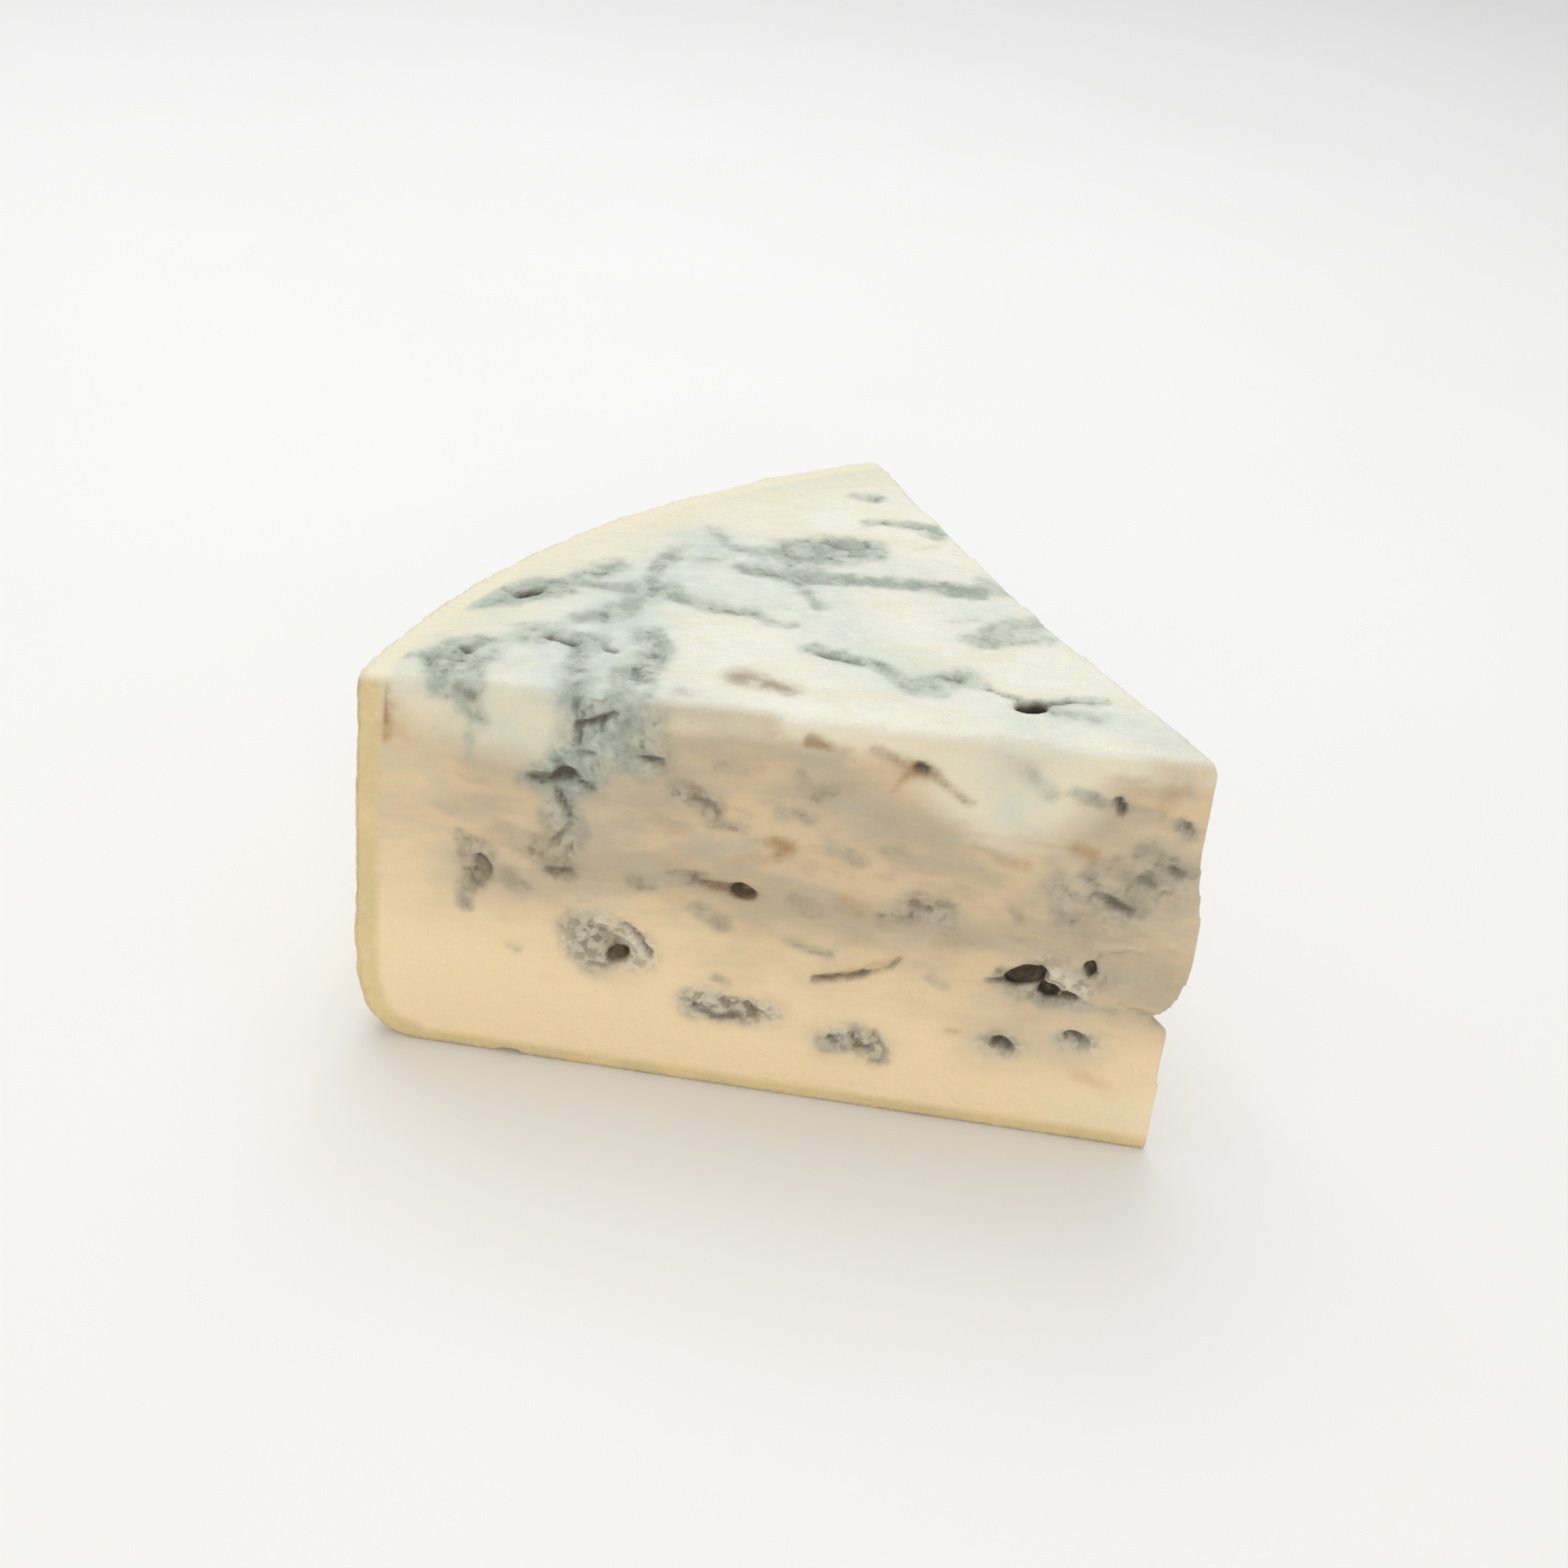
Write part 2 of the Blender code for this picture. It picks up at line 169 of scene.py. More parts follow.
CUT_MOULD = (
    # the big patch that spills over the rim and runs down
    (((36, 73), (38, 66), (37, 61)), 7.0, 8.0, 0.92),
    (((46, 74), (45.5, 67), (47, 62.5)), 7.0, 7.0, 0.92),
    (((40, 64), (46, 62)), 5.0, 4.0, 0.8),
    (((29, 55.5), (34.5, 57), (39, 55.5)), 4.0, 3.0, 0.69),
    (((34, 57), (34, 51), (35.5, 46), (34.5, 41)), 4.5, 6.0, 0.95),
    (((33, 39), (36, 38.5)), 2.2, 2.0, 0.8),
    (((28, 43.5), (31, 42)), 4.5, 3.5, 0.52),
    # towards the rind
    (((18, 72), (17, 66), (20.5, 64)), 5.0, 3.0, 0.57),
    (((18.5, 61), (19, 57.5)), 2.0, 1.6, 0.46),
    (((20.5, 40), (20.5, 35.5), (19, 30)), 5.0, 2.4, 0.85),
    (((26, 36.5), (28.5, 34)), 3.5, 3.0, 0.6),
    (((18, 43), (19, 42)), 1.8, 1.6, 0.52),
    (((27, 22.5), (28.5, 22)), 2.2, 2.0, 0.45),
    # the round eye and the holes low down
    (((38.5, 28.5), (39, 24), (42, 21)), 5.5, 4.5, 0.69),
    (((58, 16.5), (62, 16.5), (67, 16)), 4.0, 4.5, 0.57),
    (((81.5, 12.5), (84, 13)), 3.2, 3.0, 0.8),
    (((86, 15.5), (89, 14), (90.5, 10.5)), 4.0, 3.0, 0.57),
    (((108.5, 17.5), (111.5, 17)), 4.5, 4.0, 0.4),
    (((120, 20), (124.5, 20)), 3.0, 3.0, 0.4),
    # the middle; its first, full-strength mark is partly mould and partly painted shade under the rim
    (((53, 57), (58.5, 55)), 3.2, 3.6, 1.0),
    (((59.5, 52), (63, 52)), 2.2, 2.2, 0.6),
    (((59, 62.4), (62, 62)), 2.0, 2.0, 0.5),
    (((72, 62.5), (74, 59.5), (77, 61.5)), 2.4, 2.4, 0.6),
    (((69.5, 55.8), (74, 55.4)), 2.2, 2.0, 0.75),
    (((78.5, 50), (83, 49)), 2.8, 2.6, 0.65),
    (((86.5, 52.5), (88.5, 52.5)), 2.0, 2.0, 0.5),
    (((46.5, 39.2), (49.5, 39)), 2.8, 2.6, 0.6),
    (((52.5, 40.6), (57.5, 41.2)), 2.4, 2.4, 0.6),
    (((57.5, 34.8), (62, 33.2)), 3.2, 2.4, 0.6),
    (((73.5, 39.4), (77, 38)), 2.4, 2.4, 0.55),
    (((92, 42.5), (96.5, 41.5)), 4.2, 4.2, 0.75),
    (((96.5, 43), (98.5, 43)), 2.4, 2.4, 0.6),
    (((98, 38), (99.5, 38)), 2.0, 2.0, 0.5),
    (((88, 39), (93, 39.4)), 2.2, 2.2, 0.5),
    (((97, 29), (99.5, 27.6)), 1.8, 1.8, 0.5),
    (((72.5, 31.8), (80, 30)), 1.8, 1.8, 0.55),
    (((62, 22.4), (63.5, 21.6)), 1.8, 1.6, 0.45),
    # the branched hole near the tip
    (((109, 30.5), (114, 31.5), (117, 28.5), (122, 28)), 3.5, 2.5, 0.98),
    (((112.5, 29), (115, 28.5)), 4.0, 3.5, 0.8),
    (((115.5, 35.8), (118, 35.4)), 1.8, 1.6, 0.57),
    (((121.5, 33), (125.5, 33.5)), 2.6, 3.0, 0.69),
    (((122.5, 27), (128, 27.5)), 1.4, 1.4, 0.45),
    # the grey mottling above it
    (((122.5, 48.8), (127, 47)), 4.2, 3.4, 0.85),
    (((114, 51), (116, 47), (117, 45)), 3.6, 3.0, 0.55),
    (((126.5, 53.4), (130, 52.4)), 3.0, 3.0, 0.7),
    (((127, 59), (130, 57.6)), 3.0, 2.8, 0.55),
    (((119.5, 53), (123, 55)), 3.0, 2.8, 0.5),
    (((131.4, 56), (133.8, 54.8)), 3.0, 2.8, 0.85),
    (((132, 64), (133.4, 63)), 2.2, 2.2, 0.75),
    (((108, 44.6), (110, 42.4)), 2.4, 2.2, 0.55),
    (((115, 66.8), (121, 66), (128, 65.4)), 1.8, 2.0, 0.5),
    (((108, 68.6), (111.5, 66)), 2.8, 2.6, 0.4),
    (((120, 45), (131, 52)), 11.0, 12.0, 0.35),
)

CUT_WASH = (
    # pale blue or grey stretches around the veins and the holes
    (((38, 72), (42, 64), (35, 46)), 15.0, 9.0, 0.55),
    (((18, 70), (26, 62)), 10.0, 8.0, 0.4),
    (((20, 36), (28, 35)), 8.0, 6.0, 0.4),
    (((42, 27), (46, 24)), 11.0, 9.0, 0.45),
    (((60, 17), (72, 17)), 7.0, 5.0, 0.45),
    (((82, 13), (89, 13)), 7.0, 6.0, 0.5),
    (((108, 17), (112, 17)), 7.0, 6.0, 0.5),
    (((120, 19), (125, 19)), 6.0, 5.0, 0.5),
    (((112, 30), (124, 31)), 8.0, 7.0, 0.4),
    (((104, 70), (106, 61)), 9.0, 7.0, 0.45),
    (((118, 50), (131, 54)), 10.0, 12.0, 0.5),
    (((80, 60), (92, 56)), 8.0, 8.0, 0.25),
)

CUT_DARK = (
    # holes, cracks and dark hearts of veins
    (((35.6, 66), (38, 67), (41.5, 69)), 1.1, 1.2, 0.8),
    (((35.8, 66), (36.2, 63)), 1.1, 1.0, 0.7),
    (((43, 67.5), (45, 69.5)), 0.8, 0.9, 0.45),
    (((36.5, 61), (38.5, 61.3)), 1.0, 1.2, 0.6),
    (((46.3, 62), (49.5, 61.6)), 1.2, 1.2, 0.65),
    (((28.8, 55.6), (33, 56)), 1.9, 1.8, 0.6),
    (((33.6, 56.6), (34.8, 56.4)), 1.2, 1.2, 0.8),
    (((35, 56.6), (38.8, 55)), 1.4, 1.3, 0.65),
    (((33, 59), (34.2, 57)), 1.6, 1.6, 0.5),
    (((33.4, 53.4), (35.4, 49.4)), 1.5, 1.6, 0.7),
    (((35.6, 47.6), (33.6, 44.4)), 1.5, 1.4, 0.5),
    (((36, 44), (35, 41.6)), 1.3, 1.3, 0.4),
    (((32.6, 38.6), (36.2, 39)), 1.6, 1.4, 0.55),
    (((18.2, 67.8), (19, 67.2)), 1.4, 1.2, 0.5),
    (((21, 38.5), (22.2, 36.6)), 1.8, 1.8, 0.6),
    (((20.6, 34.4), (21.4, 33.6)), 1.6, 1.4, 0.5),
    (((19.4, 40), (20.4, 31)), 0.7, 0.7, 0.25),
    (((44.2, 22.6), (46.2, 23.6)), 1.6, 1.4, 0.7),
    (((40.5, 21), (43, 21)), 1.2, 1.2, 0.5),
    (((45.5, 30), (48.5, 28), (50.6, 24.8)), 1.4, 1.2, 0.75),
    (((58.6, 15.6), (62, 14.2), (66.5, 14.6)), 1.4, 1.0, 0.65),
    (((67.6, 17.8), (68.8, 15.6)), 1.0, 0.9, 0.55),
    (((82, 13.2), (83.2, 12.6)), 1.4, 1.2, 0.6),
    (((85.4, 14.6), (86, 12.8)), 0.9, 0.9, 0.5),
    (((86.6, 12), (88.4, 11.8)), 1.0, 0.9, 0.6),
    (((89.3, 16.4), (89.4, 14)), 0.8, 0.8, 0.45),
    (((89.4, 10), (91, 9.6)), 1.3, 1.1, 0.5),
    (((58.2, 40.2), (64.5, 40)), 1.5, 1.8, 0.6),
    (((63.8, 39.4), (66, 39.2)), 1.6, 1.4, 0.7),
    (((52.5, 41.3), (58.5, 42)), 0.8, 0.9, 0.3),
    (((55.4, 56), (58.4, 55)), 1.5, 1.8, 0.5),
    (((74, 30.9), (78.8, 29.8)), 0.8, 0.9, 0.35),
    (((78.3, 24.8), (81, 25.6), (86, 27.2)), 1.3, 1.4, 0.75),
    (((86, 27.2), (90, 29.2), (91.8, 31.4)), 0.9, 1.1, 0.5),
    (((90, 67.6), (91.4, 67.2)), 1.5, 1.4, 0.85),
    (((92.4, 42.6), (94.8, 41.6)), 1.8, 1.8, 0.45),
    (((96.6, 43.2), (98.2, 43)), 1.5, 1.5, 0.45),
    (((71, 55.6), (73.4, 55.4)), 1.3, 1.3, 0.3),
    (((90, 39.4), (94, 39.8)), 0.9, 0.9, 0.3),
    (((106, 29.6), (109.5, 30.2), (112, 31.8)), 0.8, 1.8, 0.7),
    (((111.5, 31.2), (114.8, 32.4)), 2.4, 2.2, 0.95),
    (((114.6, 31), (116.6, 29), (121, 28.6)), 1.2, 0.9, 0.85),
    (((115.8, 29.4), (117.2, 29)), 1.5, 1.4, 0.95),
    (((122.3, 35.2), (122.8, 33.8)), 1.4, 1.3, 0.95),
    (((122.5, 35), (123.6, 38), (127.6, 39.2)), 0.7, 0.5, 0.4),
    (((109.8, 17.4), (111.4, 17)), 2.0, 2.0, 0.8),
    (((121, 21), (123.8, 20.6)), 1.3, 1.2, 0.65),
    (((123.4, 48), (126.6, 46.8)), 2.2, 2.0, 0.75),
    (((121, 49.4), (122.2, 48.8)), 1.6, 1.4, 0.4),
    (((127.6, 53), (129.4, 52.4)), 1.8, 1.8, 0.55),
    (((115.6, 50), (117, 48)), 1.6, 1.6, 0.3),
    (((121.6, 66.8), (122.4, 65.2)), 1.2, 1.7, 0.9),
    (((128, 54.6), (129, 54.4)), 1.3, 1.3, 0.4),
    (((131.8, 55.6), (133.4, 55)), 1.8, 1.8, 0.6),
    (((132.7, 64.2), (133.1, 63.8)), 1.1, 1.1, 0.6),
    (((4.8, 67.5), (5.2, 64.5), (4.8, 61.5)), 0.8, 1.2, 0.35),
    (((128, 29.2), (133.5, 27.6)), 0.8, 1.2, 0.35),
)

CUT_STAIN = (
    # brown and orange tinges
    (((72.4, 69.2), (75.2, 69.2)), 1.8, 1.6, 1.0),
    (((66, 69.8), (79, 68.8)), 1.6, 1.6, 0.4),
    (((68.8, 50.4), (71.6, 49.4), (70, 47.6)), 2.2, 2.2, 0.85),
    (((66, 50.5), (68, 50.5)), 1.4, 1.4, 0.4),
    (((29, 43.6), (31, 42)), 3.4, 3.0, 0.35),
    (((28, 55.4), (38, 56)), 3.6, 3.0, 0.45),
    (((36, 66), (41.5, 69)), 1.8, 1.8, 0.6),
    (((59, 39.6), (66.5, 39.4)), 2.4, 2.6, 0.6),
    (((53, 41.4), (58, 42)), 1.4, 1.4, 0.4),
    (((81, 39.6), (84, 39)), 2.8, 2.4, 0.35),
    (((78, 24.8), (91, 30.6)), 1.8, 1.6, 0.5),
    (((90.6, 67.4), (91.4, 67.2)), 3.0, 3.0, 0.4),
    (((83, 70), (87, 68.6), (90, 67.6)), 1.6, 1.8, 0.75),
    (((90, 67.4), (86.6, 63.4)), 1.8, 1.4, 0.7),
    (((91.4, 67.4), (95, 65), (98.6, 62.6)), 1.8, 1.4, 0.75),
    (((121, 70.4), (125.4, 71)), 1.2, 1.2, 0.5),
    (((101, 54.6), (108.4, 53)), 2.4, 2.6, 0.5),
    (((116.8, 57.6), (118.8, 56.6)), 3.2, 3.0, 0.55),
    (((120.4, 54.8), (125.4, 54)), 2.6, 2.4, 0.65),
    (((100, 57), (120, 57), (132, 58)), 1.0, 1.0, 0.3),
    (((101, 18.6), (103, 18.8)), 1.4, 1.3, 0.5),
    (((128, 66), (131, 71)), 3.0, 4.0, 0.35),
    (((5, 68), (5.4, 64.5), (4.8, 59)), 1.4, 2.0, 0.7),
    (((7, 65), (8, 58)), 3.0, 3.0, 0.25),
    (((33, 17.4), (35, 17)), 2.4, 2.0, 0.2),
    (((124, 14), (129.5, 11.5)), 3.6, 3.0, 0.35),
    (((131.6, 50.8), (132.8, 50.2)), 2.4, 2.2, 0.5),
    (((82, 41.4), (84.4, 40.6)), 3.4, 3.2, 0.3),
)

# Pale ridges of paste inside and beside the holes of the first cut
CUT_RIDGES = (
    (((41.5, 30.4), (46, 29.4), (49.4, 25)), 0.9, 0.7, 1.0),
    (((43.6, 27.8), (47, 26.6), (48.6, 23.6)), 0.8, 0.7, 0.7),
    (((61, 17.6), (63.4, 15.2)), 0.7, 0.7, 0.8),
    (((64.4, 18), (66.6, 15)), 0.7, 0.7, 0.8),
    (((70, 18.4), (72.6, 15.8)), 0.8, 0.8, 1.0),
    (((84, 15.4), (85, 13)), 0.7, 0.7, 0.7),
    (((87.4, 15.6), (88, 13)), 0.7, 0.7, 0.7),
    (((116, 33.6), (118.6, 32.2)), 1.2, 1.0, 0.9),
    (((119.6, 31), (122.5, 29.6)), 1.0, 0.8, 0.8),
    (((123, 40), (130, 40.6)), 0.6, 0.6, 0.5),
)

# Crumbly whitish paste in and beside the holes low on the first cut
CUT_CRUMBS = (
    (((40.5, 26.5), (44, 26), (48, 25)), 8.5, 6.5, 0.9),
    (((59, 16.6), (66, 16.4), (71, 16.6)), 5.5, 4.0, 0.9),
    (((83, 13.6), (90, 12.6)), 4.5, 4.0, 0.8),
    (((109, 17.4), (112, 17)), 4.0, 3.5, 0.7),
    (((121.5, 20.6), (124.5, 20.2)), 3.5, 3.0, 0.7),
    (((115, 32.6), (121.5, 30.6)), 5.5, 3.5, 0.85),
)

# White soft paste on the first cut: lobes that slumped from the rim, painted white partly as the highlight
# where the overhead light catches the rounded rim; and the corner at the tip's foot
CUT_LOBES_AND_RIM_HIGHLIGHT = (
    (((8, 70), (14, 67), (22, 65), (31, 65)), 10.0, 15.0, 0.95),
    (((68, 73), (80, 72), (94, 70.5)), 5.0, 6.0, 0.75),
    (((98, 68), (104, 62), (110, 64), (113, 70)), 13.0, 13.0, 0.95),
    (((116, 73), (126, 74)), 5.0, 3.0, 0.7),
    (((121, 5), (133, 6)), 5.0, 9.0, 0.45),
)

# Where the beige of the first cut rises to the rim, with no white paint or painted rim highlight
CUT_BARE = (
    (((49, 73), (58, 72), (66, 73)), 8.0, 5.0, 0.8),
    (((68, 75), (84, 75.5), (97, 75)), 5.0, 4.0, 0.3),
    (((128, 73), (134, 73)), 4.0, 4.0, 0.6),
)

# Random marks on the second cut: (seed, how many, longest, widest, strongest)
FAR_MARKS = {"mould": (5, 30, 15, 6, 0.8), "dark": (6, 24, 8, 1.6, 0.8), "stain": (7, 12, 7, 2.6, 0.5)}

# Where the wheel's side counts as skin: close to its bulge, and further in where it rounds under
HEEL_HEIGHT = 16
HEEL_INSET = 10
BULGE_PLAY = 2.0

# How deep the bumps of the material are, in metres
GRAIN_BUMP = 0.0007
FINE_BUMP = 0.0002
CRUST_BUMP = 0.0009

NOISE_CELLS = 32
WELD = 1e-6

# How many millimetres of depth a small face's direction counts for, when it is told which face it is on
FACING_WEIGHT = 6

# The square sheet for baking, in millimetres, and where each face of the wedge starts on it
SHEET_SIDE = 280
SHEET_STARTS = {"top": (1, 1), "foot": (279, 1), "first": (1, 121), "second": (141, 121), "side": (1, 200)}

# ---------------------------------------------------------------------------------------------------------
# Colours, as a screen shows them
# ---------------------------------------------------------------------------------------------------------


def colour(red, green, blue):
    """A colour given from 0 to 255, as the linear values that a material takes."""
    channels = np.array([red, green, blue]) / 255
    linear = np.where(channels <= 0.04045, channels / 12.92, ((channels + 0.055) / 1.055) ** 2.4)
    return (*linear, 1.0)


# White and cream on the top against beige on the first cut: partly painted light, overhead light on the top
# and rim, warm bounce light on the first cut
WHITE_PASTE_AND_TOP_LIGHT = colour(240, 238, 222)
CREAM_PASTE = colour(236, 228, 199)
BEIGE_AND_WARM_BOUNCE = colour(219, 198, 163)
GREY_BEIGE = colour(194, 179, 152)
ROSY_BEIGE = colour(226, 197, 156)
DULL_BEIGE = colour(178, 161, 132)
COOL_BEIGE = colour(190, 182, 162)
# Peach: a warmer tone near the rind, and painted warm bounce light low on the cut faces
PEACH_AND_BOUNCE_LIGHT = colour(249, 226, 185)
BLUE_WASH = colour(200, 211, 204)
GREY_WASH = colour(192, 184, 166)
PALE_GREEN = colour(194, 201, 188)
MID_GREEN = colour(163, 171, 157)
GREY_GREEN = colour(128, 135, 121)
DARK_GREEN = colour(92, 93, 80)
PALE_OLIVE = colour(194, 184, 162)
MID_OLIVE = colour(168, 157, 134)
GREY_OLIVE = colour(134, 123, 101)
DARK_OLIVE = colour(98, 86, 67)
STAIN = colour(170, 128, 82)
DULL_STAIN = colour(156, 134, 104)
# Hole linings, darker with depth: partly the holes' own colour, partly painted shade
HOLLOW_TONE_AND_SHADE = colour(142, 128, 104)
LINING_AND_SHADE = colour(98, 83, 64)
DARK = colour(72, 60, 46)
RIDGE = colour(232, 224, 204)
CRUMB = colour(216, 210, 192)
CRUMB_SHADE = colour(146, 142, 124)
RIND = colour(230, 208, 158)
RIND_OLIVE = colour(220, 201, 153)
RIND_PALE = colour(240, 225, 184)
# Paler rind on the top: partly painted overhead light
RIND_TOP_AND_TOP_LIGHT = colour(242, 237, 212)
SKIN = colour(224, 203, 156)
SKIN_BROWN = colour(208, 184, 136)
SKIN_PALE = colour(240, 223, 182)
SKIN_PIT = colour(178, 152, 108)
FLOOR = colour(250, 249, 247)
FLOOR_SHADE = colour(246, 245, 242)

# How far the top of the peach band falls for each metre from the rind to the tip. The band is partly a
# warmer paste near the foot, partly painted warm bounce light from below
BOUNCE_LIGHT_SLOPE = 0.11

FLOOR_SIDE = 20
SKY_TINT = (0.97, 0.985, 1.0, 1.0)
SKY_STRENGTH = 0.6

# Square soft lights that point at the wedge: (name, place, side, power in watts, tint)
LIGHTS = (
    ("overhead", (-0.15, 0.35, 0.95), 0.9, 5.0, (0.97, 0.99, 1.0)),
    ("low_front", (0.15, -1.2, 0.42), 0.6, 3.1, (1.0, 0.89, 0.77)),
)
LIGHT_TARGET = (0, 0, 0.03)

# The camera looks down over the first cut, turned a little because the plate under the wedge tilted
CAMERA_LENS = 53.9
CAMERA_ROLL = 6.69
CAMERA_PLACE = (0.0178, -0.3771, 0.2483)
CAMERA_TARGET = (-0.0027, -0.0102, 0.0336)


# ---------------------------------------------------------------------------------------------------------
# The wedge's faces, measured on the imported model
# ---------------------------------------------------------------------------------------------------------


class Wedge:
    """The corners and faces of the wedge. A depth is how far inside a face a point is."""

    def __init__(self, mesh):
        places = read(mesh.vertices, "co", 3)
        low, high = places.min(axis=0), places.max(axis=0)
        self.front = np.array([low[0], low[1]])
        self.tip = np.array([high[0], low[1]])
        self.rear = np.array([places[places[:, 1].argmax(), 0], high[1]])
        self.height = high[2]
        self.top_normal, self.top_offset = self.top_plane(places)
        waist = places[np.abs(places[:, 2] / self.height - 0.6) < 0.1]
        across, share = from_chord(waist, self.rear, self.front)
        self.bulge = -across.min()
        across, share = from_chord(waist, self.tip, self.rear)
        self.hollow = across[np.abs(share - 0.5) < 0.1].min()

    def top_plane(self, places):
        """The plane through the highest point near each corner, as a normal and an offset."""
        corners = []
        for corner in (self.front, self.tip, self.rear):
            near = np.hypot(*(places[:, :2] - corner).T) < 8 * MM
            corners.append(np.append(corner, places[near, 2].max()))
        a, b, c = corners
        normal = np.cross(b - a, c - a)
        normal /= normal[2]
        return normal, normal @ a

    def depths(self, places):
        """Millimetres inside each face."""
        first, _ = from_chord(places, self.front, self.tip)
        second, along = from_chord(places, self.tip, self.rear)
        side, around = from_chord(places, self.rear, self.front)
        return {
            "first": first / MM,
            "second": (second - 4 * self.hollow * along * (1 - along)) / MM,
            "side": (side + 4 * self.bulge * around * (1 - around)) / MM,
            "top": (self.top_offset - places @ self.top_normal) / MM,
            "foot": places[:, 2] / MM,
        }

    def spots(self, places):
        """Each point's place, in millimetres, on the top, the first cut and the second cut."""
        across = (places[:, :2] - self.front) / MM
        up = places[:, 2] / MM
        _, along = from_chord(places, self.tip, self.rear)
        length = np.hypot(*(self.rear - self.tip)) / MM
        return across, np.stack([across[:, 0], up], axis=1), np.stack([along * length, up], axis=1)


def from_chord(places, start, end):
    """How far each point is to the left of a chord, and its share of the way along it."""
    chord = end - start
    length = np.hypot(*chord)
    run = chord / length
    apart = places[:, :2] - start
    return run[0] * apart[:, 1] - run[1] * apart[:, 0], apart @ run / length


def out_of(start, end):
    """The level direction that looks out of the face whose foot runs from start to end."""
    run = end - start
    return np.array([run[1], -run[0], 0.0]) / np.hypot(*run)


def read(items, name, width):
    """One measure of each vertex, edge or face of a mesh, a row for each."""
    values = np.empty(len(items) * width, np.float32)
    items.foreach_get(name, values)
    return values.reshape(-1, width).astype(float)


def read_counts(items, name, width=1):
    """Whole numbers of each item of a mesh, in one long row."""
    values = np.empty(len(items) * width, np.int32)
    items.foreach_get(name, values)
    return values


# ---------------------------------------------------------------------------------------------------------
# Fields: smooth noise, and marks drawn as lines
# ---------------------------------------------------------------------------------------------------------


def lumps(places, size, seed):
    """Smooth noise from -1 to 1 whose lumps are about size millimetres across."""
    table = np.random.default_rng(seed).uniform(-1, 1, (NOISE_CELLS,) * 3)
    scaled = places / (size * MM)
    cell = np.floor(scaled).astype(int)
    part = scaled - cell
    part = part * part * (3 - 2 * part)
    total = np.zeros(len(places))
    for corner in itertools.product((0, 1), repeat=3):
        weight = np.where(corner, part, 1 - part).prod(axis=1)
        x, y, z = ((cell + corner) % NOISE_CELLS).T
        total += weight * table[x, y, z]
    return total


def layered_lumps(places, size, seed, layers=3):
    """Noise in layers, each half the size and half the strength of the one before."""
    total = np.zeros(len(places))
    for layer in range(layers):
        total += lumps(places, size / 2**layer, seed + layer) / 2**layer
    return total / (2 - 0.5 ** (layers - 1))


def ramp(values, start, end):
    """0 at start and 1 at end, with an even ease between."""
    share = np.clip((values - start) / (end - start), 0, 1)
    return share * share * (3 - 2 * share)


def drawn(spots, marks, softness, edge=0.45):
    """How strongly each spot of a face is marked, from 0 to 1."""
    clear = np.ones(len(spots))
    for points, first_width, last_width, strength in marks:
        line = np.array(points, float)
        steps = len(line) - 1
        marked = np.zeros(len(spots))
        for step, (start, end) in enumerate(zip(line, line[1:])):
            chord = end - start
            share = np.clip((spots - start) @ chord / (chord @ chord), 0, 1)
            apart = np.hypot(*(spots - start - share[:, None] * chord).T)
            width = first_width + (last_width - first_width) * (step + share) / steps
            fade = softness * width + edge
            marked = np.maximum(marked, 1 - ramp(apart, width / 2 - fade, width / 2 + fade))
        clear *= 1 - strength * marked
    return 1 - clear


def strayed(spots, places, amount, size, seed):
    """The spots moved about a little, so that what is drawn there has a natural edge."""
    across = layered_lumps(places, size, seed)
    along = layered_lumps(places, size, seed + 10)
    return spots + amount * np.stack([across, along], axis=1)


def scattered(seed, count, longest, widest, strongest):
    """Short marks placed at random on the second cut, clear of the rind and the foot."""
    random = np.random.default_rng(seed)
    marks = []
    for _ in range(count):
        start = np.array([random.uniform(6, 120), random.uniform(8, 70)])
        turn = random.normal(0, 0.5)
        reach = random.uniform(0.3, 1) * longest
        bend = random.normal(0, 0.15 * reach)
        middle = start + (0.5 * reach * math.cos(turn), 0.5 * reach * math.sin(turn) + bend)
        end = start + (reach * math.cos(turn), reach * math.sin(turn))
        width = random.uniform(0.4, 1) * widest
        marks.append(((start, middle, end), width, 0.7 * width, random.uniform(0.5, 1) * strongest))
    return marks


def halos(marks):
    """A broad faint mark around each mark."""
    return [(points, 1.5 * start + 4, 1.5 * end + 4, 0.6 * strength)
            for points, start, end, strength in marks]


# ---------------------------------------------------------------------------------------------------------
# The mesh
# ---------------------------------------------------------------------------------------------------------


def even_copy(solid, name):
    """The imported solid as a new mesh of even, fine faces."""
    mesh = solid.copy()
    welded = bmesh.new()
    welded.from_mesh(mesh)
    bmesh.ops.remove_doubles(welded, verts=welded.verts, dist=WELD)
    welded.to_mesh(mesh)
    welded.free()
    piece = bpy.data.objects.new(name, mesh)
    bpy.context.scene.collection.objects.link(piece)
    grid = piece.modifiers.new("grid", "REMESH")
    grid.mode = "VOXEL"
    grid.voxel_size = GRID
    shaped = piece.evaluated_get(bpy.context.evaluated_depsgraph_get())
    piece.data = bpy.data.meshes.new_from_object(shaped)
    piece.modifiers.clear()
    piece.data.name = name
    piece.data.materials.clear()
    return piece


def relaxed(values, ends, rounds):
    """Values on the vertices, moved halfway to their neighbours' mean a number of times."""
    neighbours = np.bincount(ends.ravel(), minlength=len(values))
    columns = values.reshape(len(values), -1).T.copy()
    for _ in range(rounds):
        for column in columns:
            total = np.bincount(ends[:, 0], column[ends[:, 1]], len(column))
            total += np.bincount(ends[:, 1], column[ends[:, 0]], len(column))
            column += 0.5 * (total / neighbours - column)
    return columns.T.reshape(values.shape)


